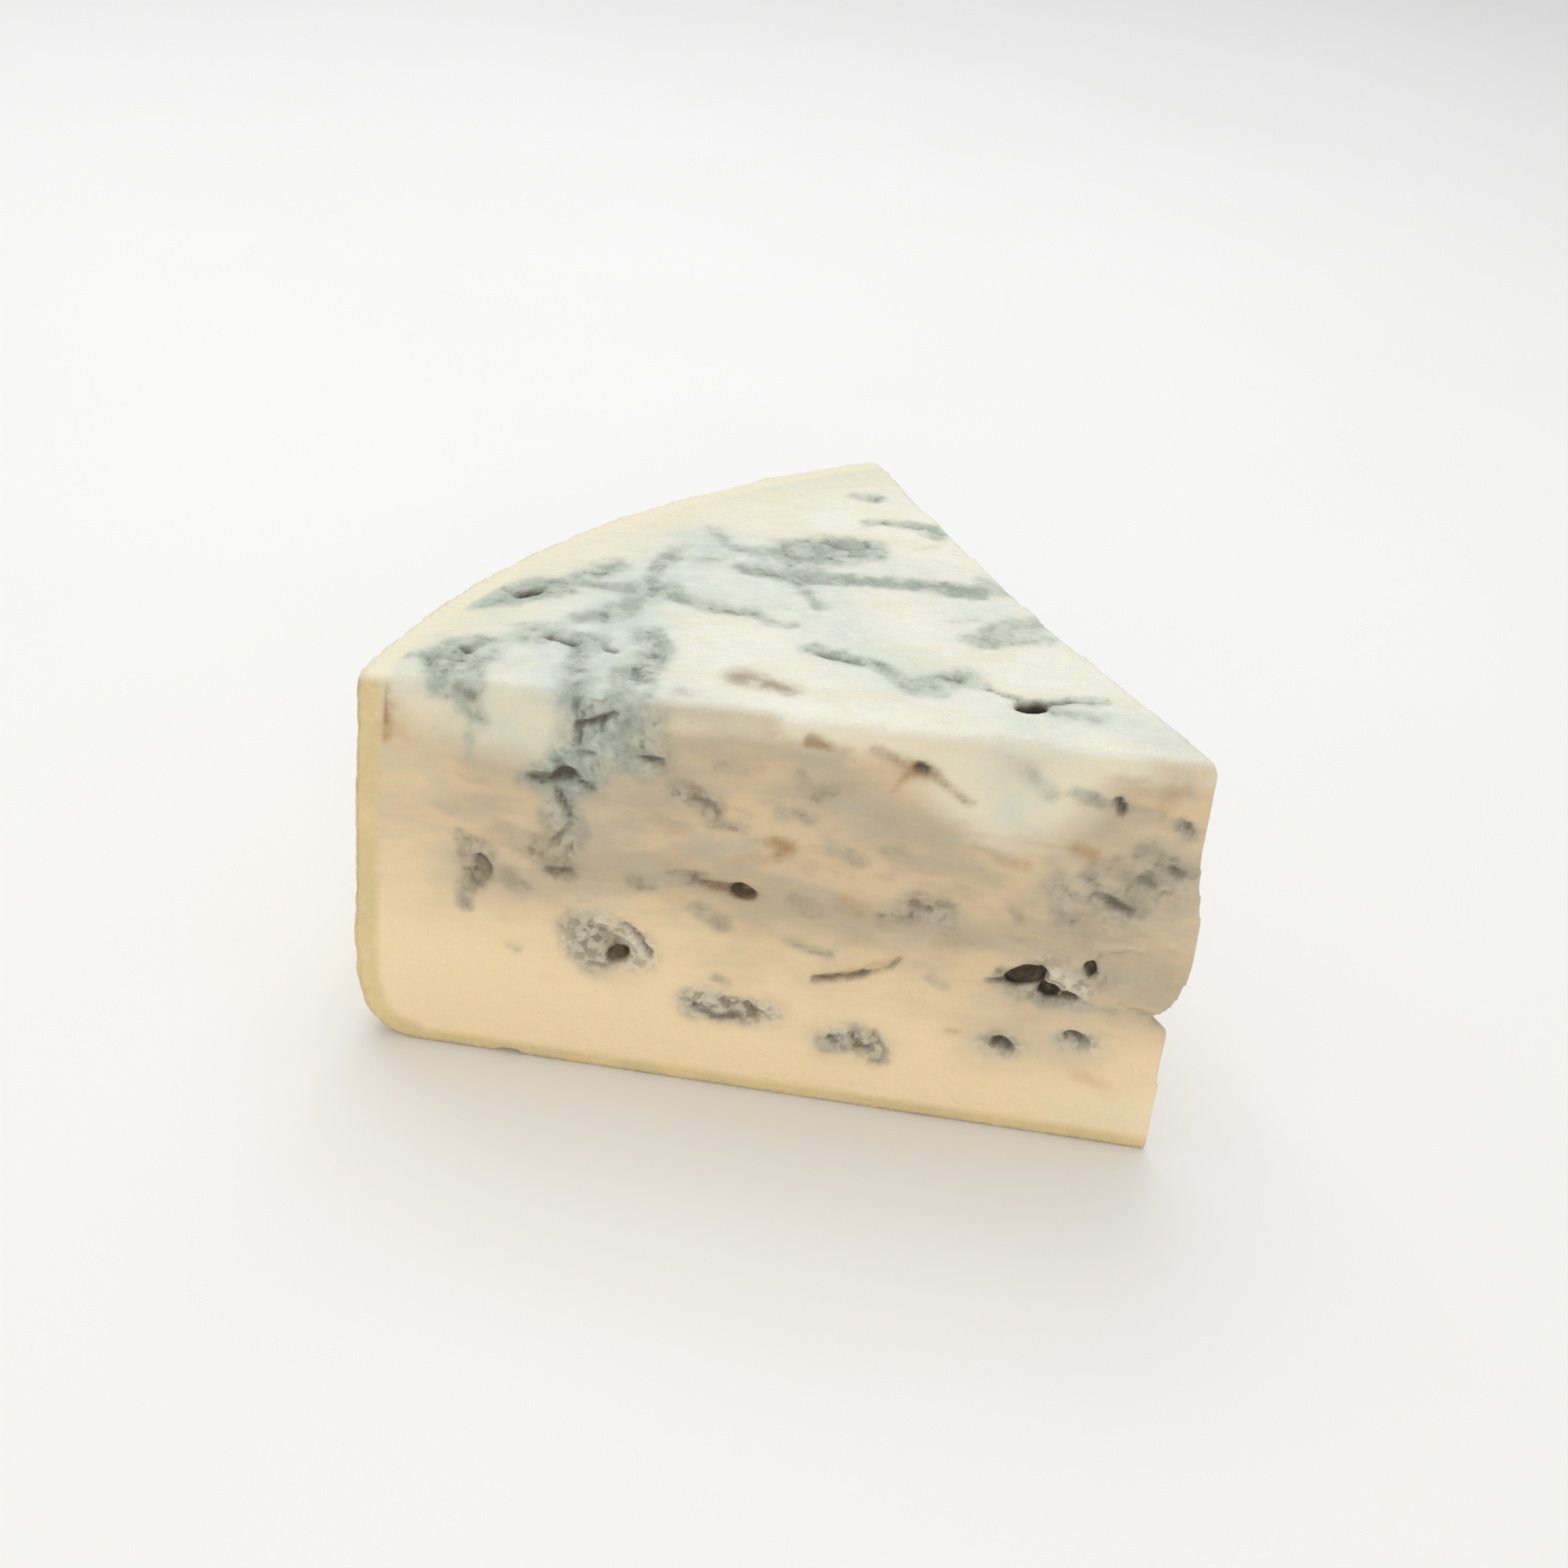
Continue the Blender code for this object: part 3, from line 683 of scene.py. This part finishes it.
def skin_distances(solid, wedge, places):
    """Millimetres from the wheel's own skin: from its round side, and from its flat foot."""
    normals = read(solid.polygons, "normal", 3)
    depth = wedge.depths(read(solid.polygons, "center", 3))
    on_second = normals @ out_of(wedge.tip, wedge.rear) > 0.8
    on_cut = (normals[:, 1] < -0.8) | on_second | (normals[:, 2] > 0.7)
    foot = (normals[:, 2] < -0.95) & (depth["foot"] < 0.2)
    heel = depth["foot"] < HEEL_HEIGHT
    side = (depth["side"] < np.where(heel, HEEL_INSET, BULGE_PLAY)) & ~on_cut & ~foot
    return distance_to(solid, side, places), distance_to(solid, foot, places)


def distance_to(solid, chosen, places):
    corners = [vertex.co for vertex in solid.vertices]
    picked = [tuple(face.vertices) for face, keep in zip(solid.polygons, chosen) if keep]
    tree = BVHTree.FromPolygons(corners, picked)
    return np.array([tree.find_nearest(place)[3] for place in places]) / MM


def store(mesh, name, values):
    layer = mesh.attributes.new(name, "FLOAT", "POINT")
    layer.data.foreach_set("value", values.astype(np.float32))


# ---------------------------------------------------------------------------------------------------------
# Where everything lies on the wedge: values from 0 to 1 for each vertex
# ---------------------------------------------------------------------------------------------------------


def reaches(depth):
    """How far each face's marks show below it: whole at the face, none deep inside."""
    top = 1 - ramp(depth["top"], 2.5, 6.0)
    first = (1 - ramp(depth["first"], 7, 9)) * ramp(depth["top"], -1.0, 2.0)
    second = (1 - ramp(depth["second"], 6, 8)) * ramp(depth["first"], 4, 9)
    return top, first, second


def veining(wedge, places, depth):
    """The mould, its pale halo, the dark hollows in it and the brown tinges."""
    top, first, second = wedge.spots(places)
    reach = reaches(depth)
    loose = (
        strayed(strayed(top, places, 1.1, 5, 11), places, 0.6, 1.8, 31),
        strayed(strayed(first, places, 0.9, 4, 51), places, 0.5, 1.6, 71),
        strayed(second, places, 1.6, 5, 91),
    )
    firm = (
        strayed(top, places, 0.4, 1.8, 33),
        strayed(first, places, 0.35, 1.6, 73),
        strayed(second, places, 0.6, 2, 93),
    )
    far = {name: scattered(*recipe) for name, recipe in FAR_MARKS.items()}
    kinds = {
        "mould": (loose, (TOP_MOULD, CUT_MOULD, far["mould"]), 0.55),
        "wash": (loose, (TOP_WASH, CUT_WASH, halos(far["mould"])), 0.6),
        "dark": (firm, (TOP_DARK, CUT_DARK, far["dark"]), 0.25),
        "stain": (loose, (TOP_STAIN, CUT_STAIN, far["stain"]), 0.5),
    }
    values = {}
    for name, (spots, marks, softness) in kinds.items():
        faces = zip(spots, marks, reach)
        values[name] = np.max([drawn(*face, softness) * share for *face, share in faces], axis=0)
    values["ridge"] = drawn(firm[1], CUT_RIDGES, 0.2) * reach[1]
    values["crumb"] = drawn(firm[1], CUT_CRUMBS, 0.35) * reach[1]
    return values


def skin(side, foot):
    """The rind's full thickness, and its outermost skin."""
    thick = np.maximum(
        1 - ramp(side, SIDE_RIND - 0.9, SIDE_RIND + 0.9),
        1 - ramp(foot, FLAT_RIND - 0.7, FLAT_RIND + 0.7),
    )
    return thick, 1 - ramp(np.minimum(side, foot), 0.4, 1.0)


def pale_paste(wedge, places, depth):
    """White creamy paste: the top, its softened rim, and the lobes that slumped over the first cut. Its
    whiteness against the beige first cut is partly painted overhead light on the top and a painted highlight
    on the rounded rim.
    """
    _, first, _ = wedge.spots(places)
    edge = strayed(first, places, 2.2, 9, 111)
    near = 1 - ramp(depth["first"], 8, 12)
    # White lobes below the rim: slumped paste, painted white partly as the overhead light's highlight on the
    # rounded rim
    lobes = drawn(edge, CUT_LOBES_AND_RIM_HIGHLIGHT, 0.3, 1.0) * near
    bare = drawn(edge, CUT_BARE, 0.3, 1.0) * (1 - ramp(depth["first"], 0.5, 4))
    # A white band under the top, fading from 2.5 to 6.5 mm down: partly painted overhead light on the top
    # and the rounded rim
    creamy = 1 - ramp(depth["top"] + 1.5 * layered_lumps(places, 8, 121), 2.5, 6.5)
    return np.maximum(creamy, lobes) * (1 - bare)


def dullness(wedge, places, depth):
    """Where the mould is dull and brownish: the beige middle of the first cut, and patches of the second."""
    _, first, _ = wedge.spots(places)
    across, up = first.T
    green_patch = (1 - ramp(across, 42, 54)) * ramp(up, 40, 58)
    low = 1 - ramp(up, 24, 34)
    dull = (1 - green_patch) * (1 - 0.3 * low) * (1 - 0.25 * ramp(across, 108, 122))
    on_first = 1 - ramp(depth["first"], 4, 8)
    return dull * on_first + ramp(lumps(places, 25, 131), -0.2, 0.4) * (1 - on_first)


# ---------------------------------------------------------------------------------------------------------
# Relief: how far each vertex moves outward, in millimetres
# ---------------------------------------------------------------------------------------------------------


def relief(places, depth, values):
    cut = 1 - values["rind"]
    crumbs = layered_lumps(places, 2.4, 201, 2)
    rise = 0.28 * layered_lumps(places, 11, 211) * cut
    rise += 0.10 * layered_lumps(places, 3.2, 221, 2) * cut
    rise += 0.18 * layered_lumps(places, 4.5, 231, 2) * cut * (1 - ramp(depth["top"], 1.5, 3.5))
    rise -= values["mould"] * (0.3 + 0.55 * crumbs)
    rise -= 1.3 * values["dark"]
    rise += 0.8 * values["ridge"]
    rise += 0.5 * lumps(places, 1.7, 271) * values["crumb"]
    rise += rind_relief(places, depth) * values["skin"]
    at_tip = (1 - ramp(depth["first"], 1, 4)) * (1 - ramp(depth["second"], 1, 4))
    return rise * (1 - 0.7 * at_tip)


def rind_relief(places, depth):
    """Shallow wrinkles round the side, longer across than up, and pores on the foot."""
    stretched = places * (0.6, 0.6, 1.6)
    wrinkles = 0.45 * layered_lumps(stretched, 6, 241) + 0.22 * layered_lumps(places, 2.6, 251, 2)
    pores = ramp(lumps(places * (1, 1, 0.2), 7, 261), 0.72, 0.85)
    return np.where(depth["foot"] < 0.6, -1.2 * pores, wrinkles)


def shaped(piece, solid, wedge):
    """Gives the piece its relief, and stores on it the values that the material reads."""
    mesh = piece.data
    ends = read_counts(mesh.edges, "vertices", 2).reshape(-1, 2)
    places = softened(wedge, relaxed(read(mesh.vertices, "co", 3), ends, SMOOTHING_ROUNDS), ends)
    depth = wedge.depths(places)
    values = vertex_values(solid, wedge, places, depth)
    put(mesh, places)
    outward = relaxed(read(mesh.vertex_normals, "vector", 3), ends, NORMAL_ROUNDS)
    outward /= np.linalg.norm(outward, axis=1)[:, None]
    moved = places + outward * relief(places, depth, values)[:, None] * MM
    moved[:, 2] = np.maximum(moved[:, 2], 0)
    put(mesh, moved)
    for name, layer in values.items():
        store(mesh, name, layer)
    mesh.shade_smooth()


def vertex_values(solid, wedge, places, depth):
    """All the values of each vertex, by name."""
    values = veining(wedge, places, depth)
    side, foot = skin_distances(solid, wedge, places)
    values["rind"], values["skin"] = skin(side, foot)
    # White top, rim band and lobes: partly cream paste, partly painted overhead light and rim highlight; the
    # top face itself is painted whitest
    values["cream_and_overhead_light"] = pale_paste(wedge, places, depth)
    values["top"] = 1 - ramp(depth["top"], 0.8, 2.2)
    values["outer"] = 1 - ramp(side, 5, 24)
    values["dull"] = dullness(wedge, places, depth) * (1 - values["cream_and_overhead_light"])
    for name in ("mould", "wash", "dark", "stain"):
        values[name] = values[name] * (1 - values["rind"])
    values["deep"] = hollows(depth)
    return values


def put(mesh, places):
    mesh.vertices.foreach_set("co", places.astype(np.float32).ravel())
    mesh.update()


def softened(wedge, places, ends):
    """Rounds the rim over the first cut, most where the paste slumped."""
    depth = wedge.depths(places)
    _, first, _ = wedge.spots(places)
    at_rim = (1 - ramp(depth["first"], 5, 9)) * (1 - ramp(depth["top"], 7, 12))
    at_rim *= ramp(depth["side"], 2, 9) * ramp(depth["second"], 1, 6)
    slumped = drawn(first, CUT_LOBES_AND_RIM_HIGHLIGHT, 0.4, 1.5)
    share = at_rim * (0.35 + 0.65 * slumped)
    return places + share[:, None] * (relaxed(places, ends, RIM_ROUNDS) - places)


def hollows(depth):
    """How deep inside the holes a vertex is. The slumped rim leans back, and isn't a hole."""
    leaning = 5 * (1 - ramp(depth["top"], 0, 16))
    walls = [depth["first"] - leaning, depth["second"], depth["side"], depth["top"]]
    return ramp(np.min(walls, axis=0), 1.2, 3.2) * ramp(depth["foot"], 1.5, 4.0)


# ---------------------------------------------------------------------------------------------------------
# Layout for baking: each face of the wedge lies flat in its own part of a square sheet
# ---------------------------------------------------------------------------------------------------------


def lay_out(piece, wedge):
    mesh = piece.data
    sheets = flat_places(wedge, read(mesh.vertices, "co", 3))
    spread = np.array([sheets[name] + SHEET_STARTS[name] for name in sheets])
    chosen = nearest_faces(mesh, wedge, list(sheets))
    face_of_loop = np.repeat(chosen, read_counts(mesh.polygons, "loop_total"))
    flat = spread[face_of_loop, read_counts(mesh.loops, "vertex_index")] / SHEET_SIDE
    layer = mesh.uv_layers.new(name="OFBake")
    layer.uv.foreach_set("vector", flat.astype(np.float32).ravel())


def flat_places(wedge, places):
    """Each vertex's place, in millimetres, on each face of the wedge laid flat."""
    top, first, second = wedge.spots(places)
    _, around = from_chord(places, wedge.rear, wedge.front)
    length = np.hypot(*(wedge.rear - wedge.front)) / MM
    side = np.stack([(1 - around) * length, places[:, 2] / MM], axis=1)
    return {"first": first, "second": second, "side": side, "top": top, "foot": top * (-1, 1)}


def nearest_faces(mesh, wedge, names):
    """For each small face, the number of the wedge's face that it is on and looks out of."""
    directions = {
        "first": np.array([0.0, -1.0, 0.0]),
        "second": out_of(wedge.tip, wedge.rear),
        "side": out_of(wedge.rear, wedge.front),
        "top": np.array([0.0, 0.0, 1.0]),
        "foot": np.array([0.0, 0.0, -1.0]),
    }
    depth = wedge.depths(read(mesh.polygons, "center", 3))
    normals = read(mesh.polygons, "normal", 3)
    score = [depth[name] - FACING_WEIGHT * normals @ directions[name] for name in names]
    return np.argmin(score, axis=0)


# ---------------------------------------------------------------------------------------------------------
# Material
# ---------------------------------------------------------------------------------------------------------


class Paint:
    """Short ways to add the nodes of one material."""

    def __init__(self, name):
        self.material = bpy.data.materials.new(name)
        self.material.use_nodes = True
        self.nodes = self.material.node_tree.nodes
        self.links = self.material.node_tree.links
        self.shader = self.nodes["Principled BSDF"]
        self.place = self.nodes.new("ShaderNodeTexCoord").outputs["Object"]

    def plug(self, value, socket):
        if isinstance(value, bpy.types.NodeSocket):
            self.links.new(value, socket)
        else:
            socket.default_value = value

    def stored(self, name):
        node = self.nodes.new("ShaderNodeAttribute")
        node.attribute_name = name
        return node.outputs["Fac"]

    def noise(self, size, detail=3, roughness=0.55, stretch=None):
        """Noise whose lumps are about size millimetres across."""
        node = self.nodes.new("ShaderNodeTexNoise")
        self.plug(self.place if stretch is None else self.stretched(stretch), node.inputs["Vector"])
        node.inputs["Scale"].default_value = 1 / (size * MM)
        node.inputs["Detail"].default_value = detail
        node.inputs["Roughness"].default_value = roughness
        return node.outputs["Fac"]

    def stretched(self, factors):
        node = self.nodes.new("ShaderNodeMapping")
        self.plug(self.place, node.inputs["Vector"])
        node.inputs["Scale"].default_value = factors
        return node.outputs["Vector"]

    def math(self, operation, first, second):
        node = self.nodes.new("ShaderNodeMath")
        node.operation = operation
        self.plug(first, node.inputs[0])
        self.plug(second, node.inputs[1])
        return node.outputs[0]

    def times(self, first, second):
        return self.math("MULTIPLY", first, second)

    def plus(self, first, second):
        return self.math("ADD", first, second)

    def swing(self, noise, amount):
        """Noise turned into a swing about zero."""
        return self.times(self.math("SUBTRACT", noise, 0.5), amount)

    def span(self, value, start, end, low=0.0, high=1.0):
        """The value's place between start and end, eased, from low to high."""
        node = self.nodes.new("ShaderNodeMapRange")
        node.interpolation_type = "SMOOTHSTEP"
        entries = {"Value": value, "From Min": start, "From Max": end, "To Min": low, "To Max": high}
        for name, entry in entries.items():
            self.plug(entry, node.inputs[name])
        return node.outputs["Result"]

    def mix(self, share, below, above):
        node = self.nodes.new("ShaderNodeMix")
        node.data_type = "RGBA"
        self.plug(share, node.inputs["Factor"])
        self.plug(below, node.inputs["A"])
        self.plug(above, node.inputs["B"])
        return node.outputs["Result"]

    def bump(self, height, distance, under=None):
        node = self.nodes.new("ShaderNodeBump")
        self.plug(height, node.inputs["Height"])
        node.inputs["Distance"].default_value = distance
        if under is not None:
            self.plug(under, node.inputs["Normal"])
        return node.outputs["Normal"]


def paste_colour(paint):
    """Beige where the knife passed, its warmth partly painted warm bounce light; paler and creamier on the
    top, partly painted overhead light; peach near the rind, and peach near the foot that is partly painted
    warm bounce light from below.
    """
    axes = paint.nodes.new("ShaderNodeSeparateXYZ")
    paint.plug(paint.place, axes.inputs["Vector"])
    outer = paint.stored("outer")
    patches = paint.noise(15, 3, 0.5, stretch=(0.6, 1.0, 1.3))
    streaks = paint.noise(5, 4, 0.6, stretch=(0.4, 0.6, 1.3))
    smears = paint.noise(3.4, 2, 0.5, stretch=(0.5, 0.7, 1.1))
    veil = paint.noise(7, 3, 0.55, stretch=(0.7, 1.0, 1.1))
    # The height below which the paste turns peach, falling towards the tip: partly a warmer paste near the
    # foot, partly painted warm bounce light from below
    level = paint.plus(axes.outputs["Z"], paint.times(axes.outputs["X"], BOUNCE_LIGHT_SLOPE))
    level = paint.plus(level, paint.swing(patches, 0.02))
    # Beige on the first cut, its warmth partly painted warm bounce light
    beige = paint.mix(paint.span(patches, 0.38, 0.62), BEIGE_AND_WARM_BOUNCE, GREY_BEIGE)
    beige = paint.mix(paint.span(streaks, 0.48, 0.72, 0, 0.5), beige, ROSY_BEIGE)
    beige = paint.mix(paint.span(smears, 0.48, 0.74, 0, 0.4), beige, DULL_BEIGE)
    beige = paint.mix(paint.span(veil, 0.5, 0.68, 0, 0.55), beige, COOL_BEIGE)
    beige = paint.mix(paint.times(outer, 0.4), beige, PEACH_AND_BOUNCE_LIGHT)
    paste = paint.mix(paint.span(level, 0.042, 0.012), beige, PEACH_AND_BOUNCE_LIGHT)
    # Whitest on the top face, creamier below it: partly painted overhead light on the top and the rounded
    # rim
    warm = paint.mix(paint.span(streaks, 0.46, 0.64, 0, 0.6), WHITE_PASTE_AND_TOP_LIGHT, CREAM_PASTE)
    warm = paint.mix(paint.times(outer, 0.7), warm, CREAM_PASTE)
    warm = paint.mix(paint.span(paint.stored("top"), 1.0, 0.0, 0, 0.8), warm, CREAM_PASTE)
    return paint.mix(paint.stored("cream_and_overhead_light"), paste, warm)


def mould_colour(paint, blots, crumbs, grains, dull):
    """A pale bloom with darker blotches and specks, bluish green, or duller where the cut is beige."""
    palettes = (
        (PALE_GREEN, MID_GREEN, GREY_GREEN, DARK_GREEN),
        (PALE_OLIVE, MID_OLIVE, GREY_OLIVE, DARK_OLIVE),
    )
    tones = []
    for pale, middle, grey, deep in palettes:
        bloom = paint.mix(paint.span(blots, 0.35, 0.65), pale, middle)
        bloom = paint.mix(paint.span(grains, 0.45, 0.7, 0, 0.4), bloom, grey)
        tones.append(paint.mix(paint.span(crumbs, 0.55, 0.75, 0, 0.7), bloom, deep))
    return paint.mix(dull, *tones)


def with_washes(paint, paste, blots, crumbs):
    """The pale halo round the mould, and the brown tinges."""
    cream_and_overhead_light = paint.stored("cream_and_overhead_light")
    wash = paint.times(paint.stored("wash"), paint.span(blots, 0.2, 0.65, 0.4, 1.0))
    paste = paint.mix(wash, paste, paint.mix(cream_and_overhead_light, GREY_WASH, BLUE_WASH))
    stain = paint.times(paint.stored("stain"), paint.span(crumbs, 0.2, 0.6, 0.5, 1.0))
    tinge = paint.mix(cream_and_overhead_light, STAIN, DULL_STAIN)
    return paint.mix(paint.span(stain, 0.0, 0.9, 0, 0.85), paste, tinge)


def with_mould(paint, paste, blots, crumbs):
    """Mould as a soft smudge, broken up into blots."""
    grains = paint.noise(1.3, 2, 0.5)
    mould = paint.stored("mould")
    dull = paint.stored("dull")
    smudge = paint.times(paint.span(mould, 0.0, 0.8), paint.span(blots, 0.3, 0.6, 0.35, 0.65))
    paste = paint.mix(smudge, paste, paint.mix(dull, MID_GREEN, MID_OLIVE))
    field = paint.plus(paint.plus(mould, paint.swing(blots, 0.6)), paint.swing(crumbs, 0.4))
    share = paint.times(paint.span(field, -0.05, 0.9), paint.span(mould, 0.0, 0.35))
    moulded = mould_colour(paint, blots, crumbs, grains, dull)
    return paint.mix(paint.times(share, 0.9), paste, moulded)


def with_hollows(paint, paste, crumbs):
    """Whitish crumbs, a lining in the holes that darkens with depth, partly the holes' own colour and partly
    painted shade, dark pits and cracks, and pale ridges.
    """
    deep = paint.stored("deep")
    crumbly = paint.mix(paint.span(paint.noise(1.7, 2, 0.5), 0.56, 0.4), CRUMB, CRUMB_SHADE)
    paste = paint.mix(paint.times(paint.stored("crumb"), 0.9), paste, crumbly)
    # Painted shade: inside any hollow the paste turns brown, darker with depth, partly the holes' own lining
    lining = paint.mix(paint.span(crumbs, 0.36, 0.6), HOLLOW_TONE_AND_SHADE, LINING_AND_SHADE)
    paste = paint.mix(paint.times(deep, 0.9), paste, lining)
    dark = paint.times(paint.stored("dark"), paint.span(deep, 1.0, 0.3, 0.35, 1.0))
    edge = paint.plus(dark, paint.swing(crumbs, 0.35))
    pit = paint.times(paint.span(edge, 0.0, 0.9), paint.span(dark, 0.0, 0.3))
    paste = paint.mix(paint.times(pit, 0.9), paste, DARK)
    return paint.mix(paint.times(paint.stored("ridge"), 0.85), paste, RIDGE)


def rind_colour(paint):
    """Yellowish rind with an olive cast, paler where the level cut meets it on the top, partly as painted
    overhead light, and crusty on its skin.
    """
    blots = paint.noise(9, 4, 0.6)
    fine = paint.noise(2.2, 3, 0.6)
    rind = paint.mix(paint.span(blots, 0.35, 0.65), RIND, RIND_OLIVE)
    rind = paint.mix(paint.span(fine, 0.5, 0.7, 0, 0.3), rind, RIND_PALE)
    crust = paint.mix(paint.span(blots, 0.42, 0.62), SKIN, SKIN_BROWN)
    crust = paint.mix(paint.span(paint.noise(1.5, 3, 0.65), 0.48, 0.64, 0, 0.75), crust, SKIN_PALE)
    crust = paint.mix(paint.span(paint.noise(3.0, 4, 0.7), 0.44, 0.36, 0, 0.6), crust, SKIN_PIT)
    rind = paint.mix(paint.times(paint.stored("skin"), 0.8), rind, crust)
    # Paler on the top: partly painted overhead light
    return paint.mix(paint.times(paint.stored("top"), 0.85), rind, RIND_TOP_AND_TOP_LIGHT)


def cheese(name):
    """Moist paste with a waxy gloss, light passing a little way into it."""
    paint = Paint(name)
    blots = paint.noise(4.0, 2, 0.5)
    crumbs = paint.noise(2.4, 2, 0.5)
    body = with_washes(paint, paste_colour(paint), blots, crumbs)
    body = with_mould(paint, body, blots, crumbs)
    body = with_hollows(paint, body, crumbs)
    paint.plug(paint.mix(paint.stored("rind"), body, rind_colour(paint)), paint.shader.inputs["Base Color"])
    fine = paint.noise(1.1, 3, 0.55)
    grain = paint.noise(3.2, 4, 0.6)
    paint.plug(paint.span(grain, 0.3, 0.7, 0.42, 0.62), paint.shader.inputs["Roughness"])
    under = paint.bump(grain, GRAIN_BUMP)
    crust = paint.times(paint.noise(1.5, 3, 0.65), paint.stored("skin"))
    under = paint.bump(crust, CRUST_BUMP, under)
    paint.plug(paint.bump(fine, FINE_BUMP, under), paint.shader.inputs["Normal"])
    paint.shader.inputs["Subsurface Weight"].default_value = 0.22
    paint.shader.inputs["Subsurface Radius"].default_value = (1.0, 0.65, 0.4)
    paint.shader.inputs["Subsurface Scale"].default_value = 0.004
    paint.shader.inputs["IOR"].default_value = 1.42
    return paint.material


# ---------------------------------------------------------------------------------------------------------
# Floor, light and camera
# ---------------------------------------------------------------------------------------------------------


def add_floor():
    bpy.ops.mesh.primitive_plane_add(size=FLOOR_SIDE)
    floor = bpy.context.object
    floor.name = "floor"
    paint = Paint("floor_paper")
    cloud = paint.noise(120, 2)
    paint.plug(paint.mix(cloud, FLOOR, FLOOR_SHADE), paint.shader.inputs["Base Color"])
    paint.shader.inputs["Roughness"].default_value = 0.7
    floor.data.materials.append(paint.material)


def add_light(name, place, side, power, tint):
    light = bpy.data.lights.new(name, "AREA")
    light.size = side
    light.energy = power
    light.color = tint
    lamp = bpy.data.objects.new(name, light)
    lamp.location = place
    lamp.rotation_euler = (Vector(LIGHT_TARGET) - Vector(place)).to_track_quat("-Z", "Y").to_euler()
    lamp.visible_camera = False
    bpy.context.scene.collection.objects.link(lamp)


def add_sky():
    world = bpy.data.worlds.new("studio")
    world.use_nodes = True
    background = world.node_tree.nodes["Background"]
    background.inputs["Color"].default_value = SKY_TINT
    background.inputs["Strength"].default_value = SKY_STRENGTH
    bpy.context.scene.world = world


def add_camera():
    lens = bpy.data.cameras.new("camera")
    lens.lens = CAMERA_LENS
    lens.sensor_width = 36
    camera = bpy.data.objects.new("camera", lens)
    look = (Vector(CAMERA_TARGET) - Vector(CAMERA_PLACE)).to_track_quat("-Z", "Y").to_matrix()
    roll = Matrix.Rotation(math.radians(CAMERA_ROLL), 3, "Z")
    camera.rotation_euler = (look @ roll).to_euler()
    camera.location = CAMERA_PLACE
    bpy.context.scene.collection.objects.link(camera)
    bpy.context.scene.camera = camera


# ---------------------------------------------------------------------------------------------------------
# Putting it together
# ---------------------------------------------------------------------------------------------------------


def add_wedge():
    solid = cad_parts[NODE].data
    piece = even_copy(solid, PIECE)
    wedge = Wedge(solid)
    shaped(piece, solid, wedge)
    lay_out(piece, wedge)
    piece.data.materials.append(cheese("blue_cheese"))
    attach(piece, "root")
    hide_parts(NODE)


add_wedge()
add_floor()
for light in LIGHTS:
    add_light(*light)
add_sky()
add_camera()
bpy.context.scene.view_settings.view_transform = "Standard"
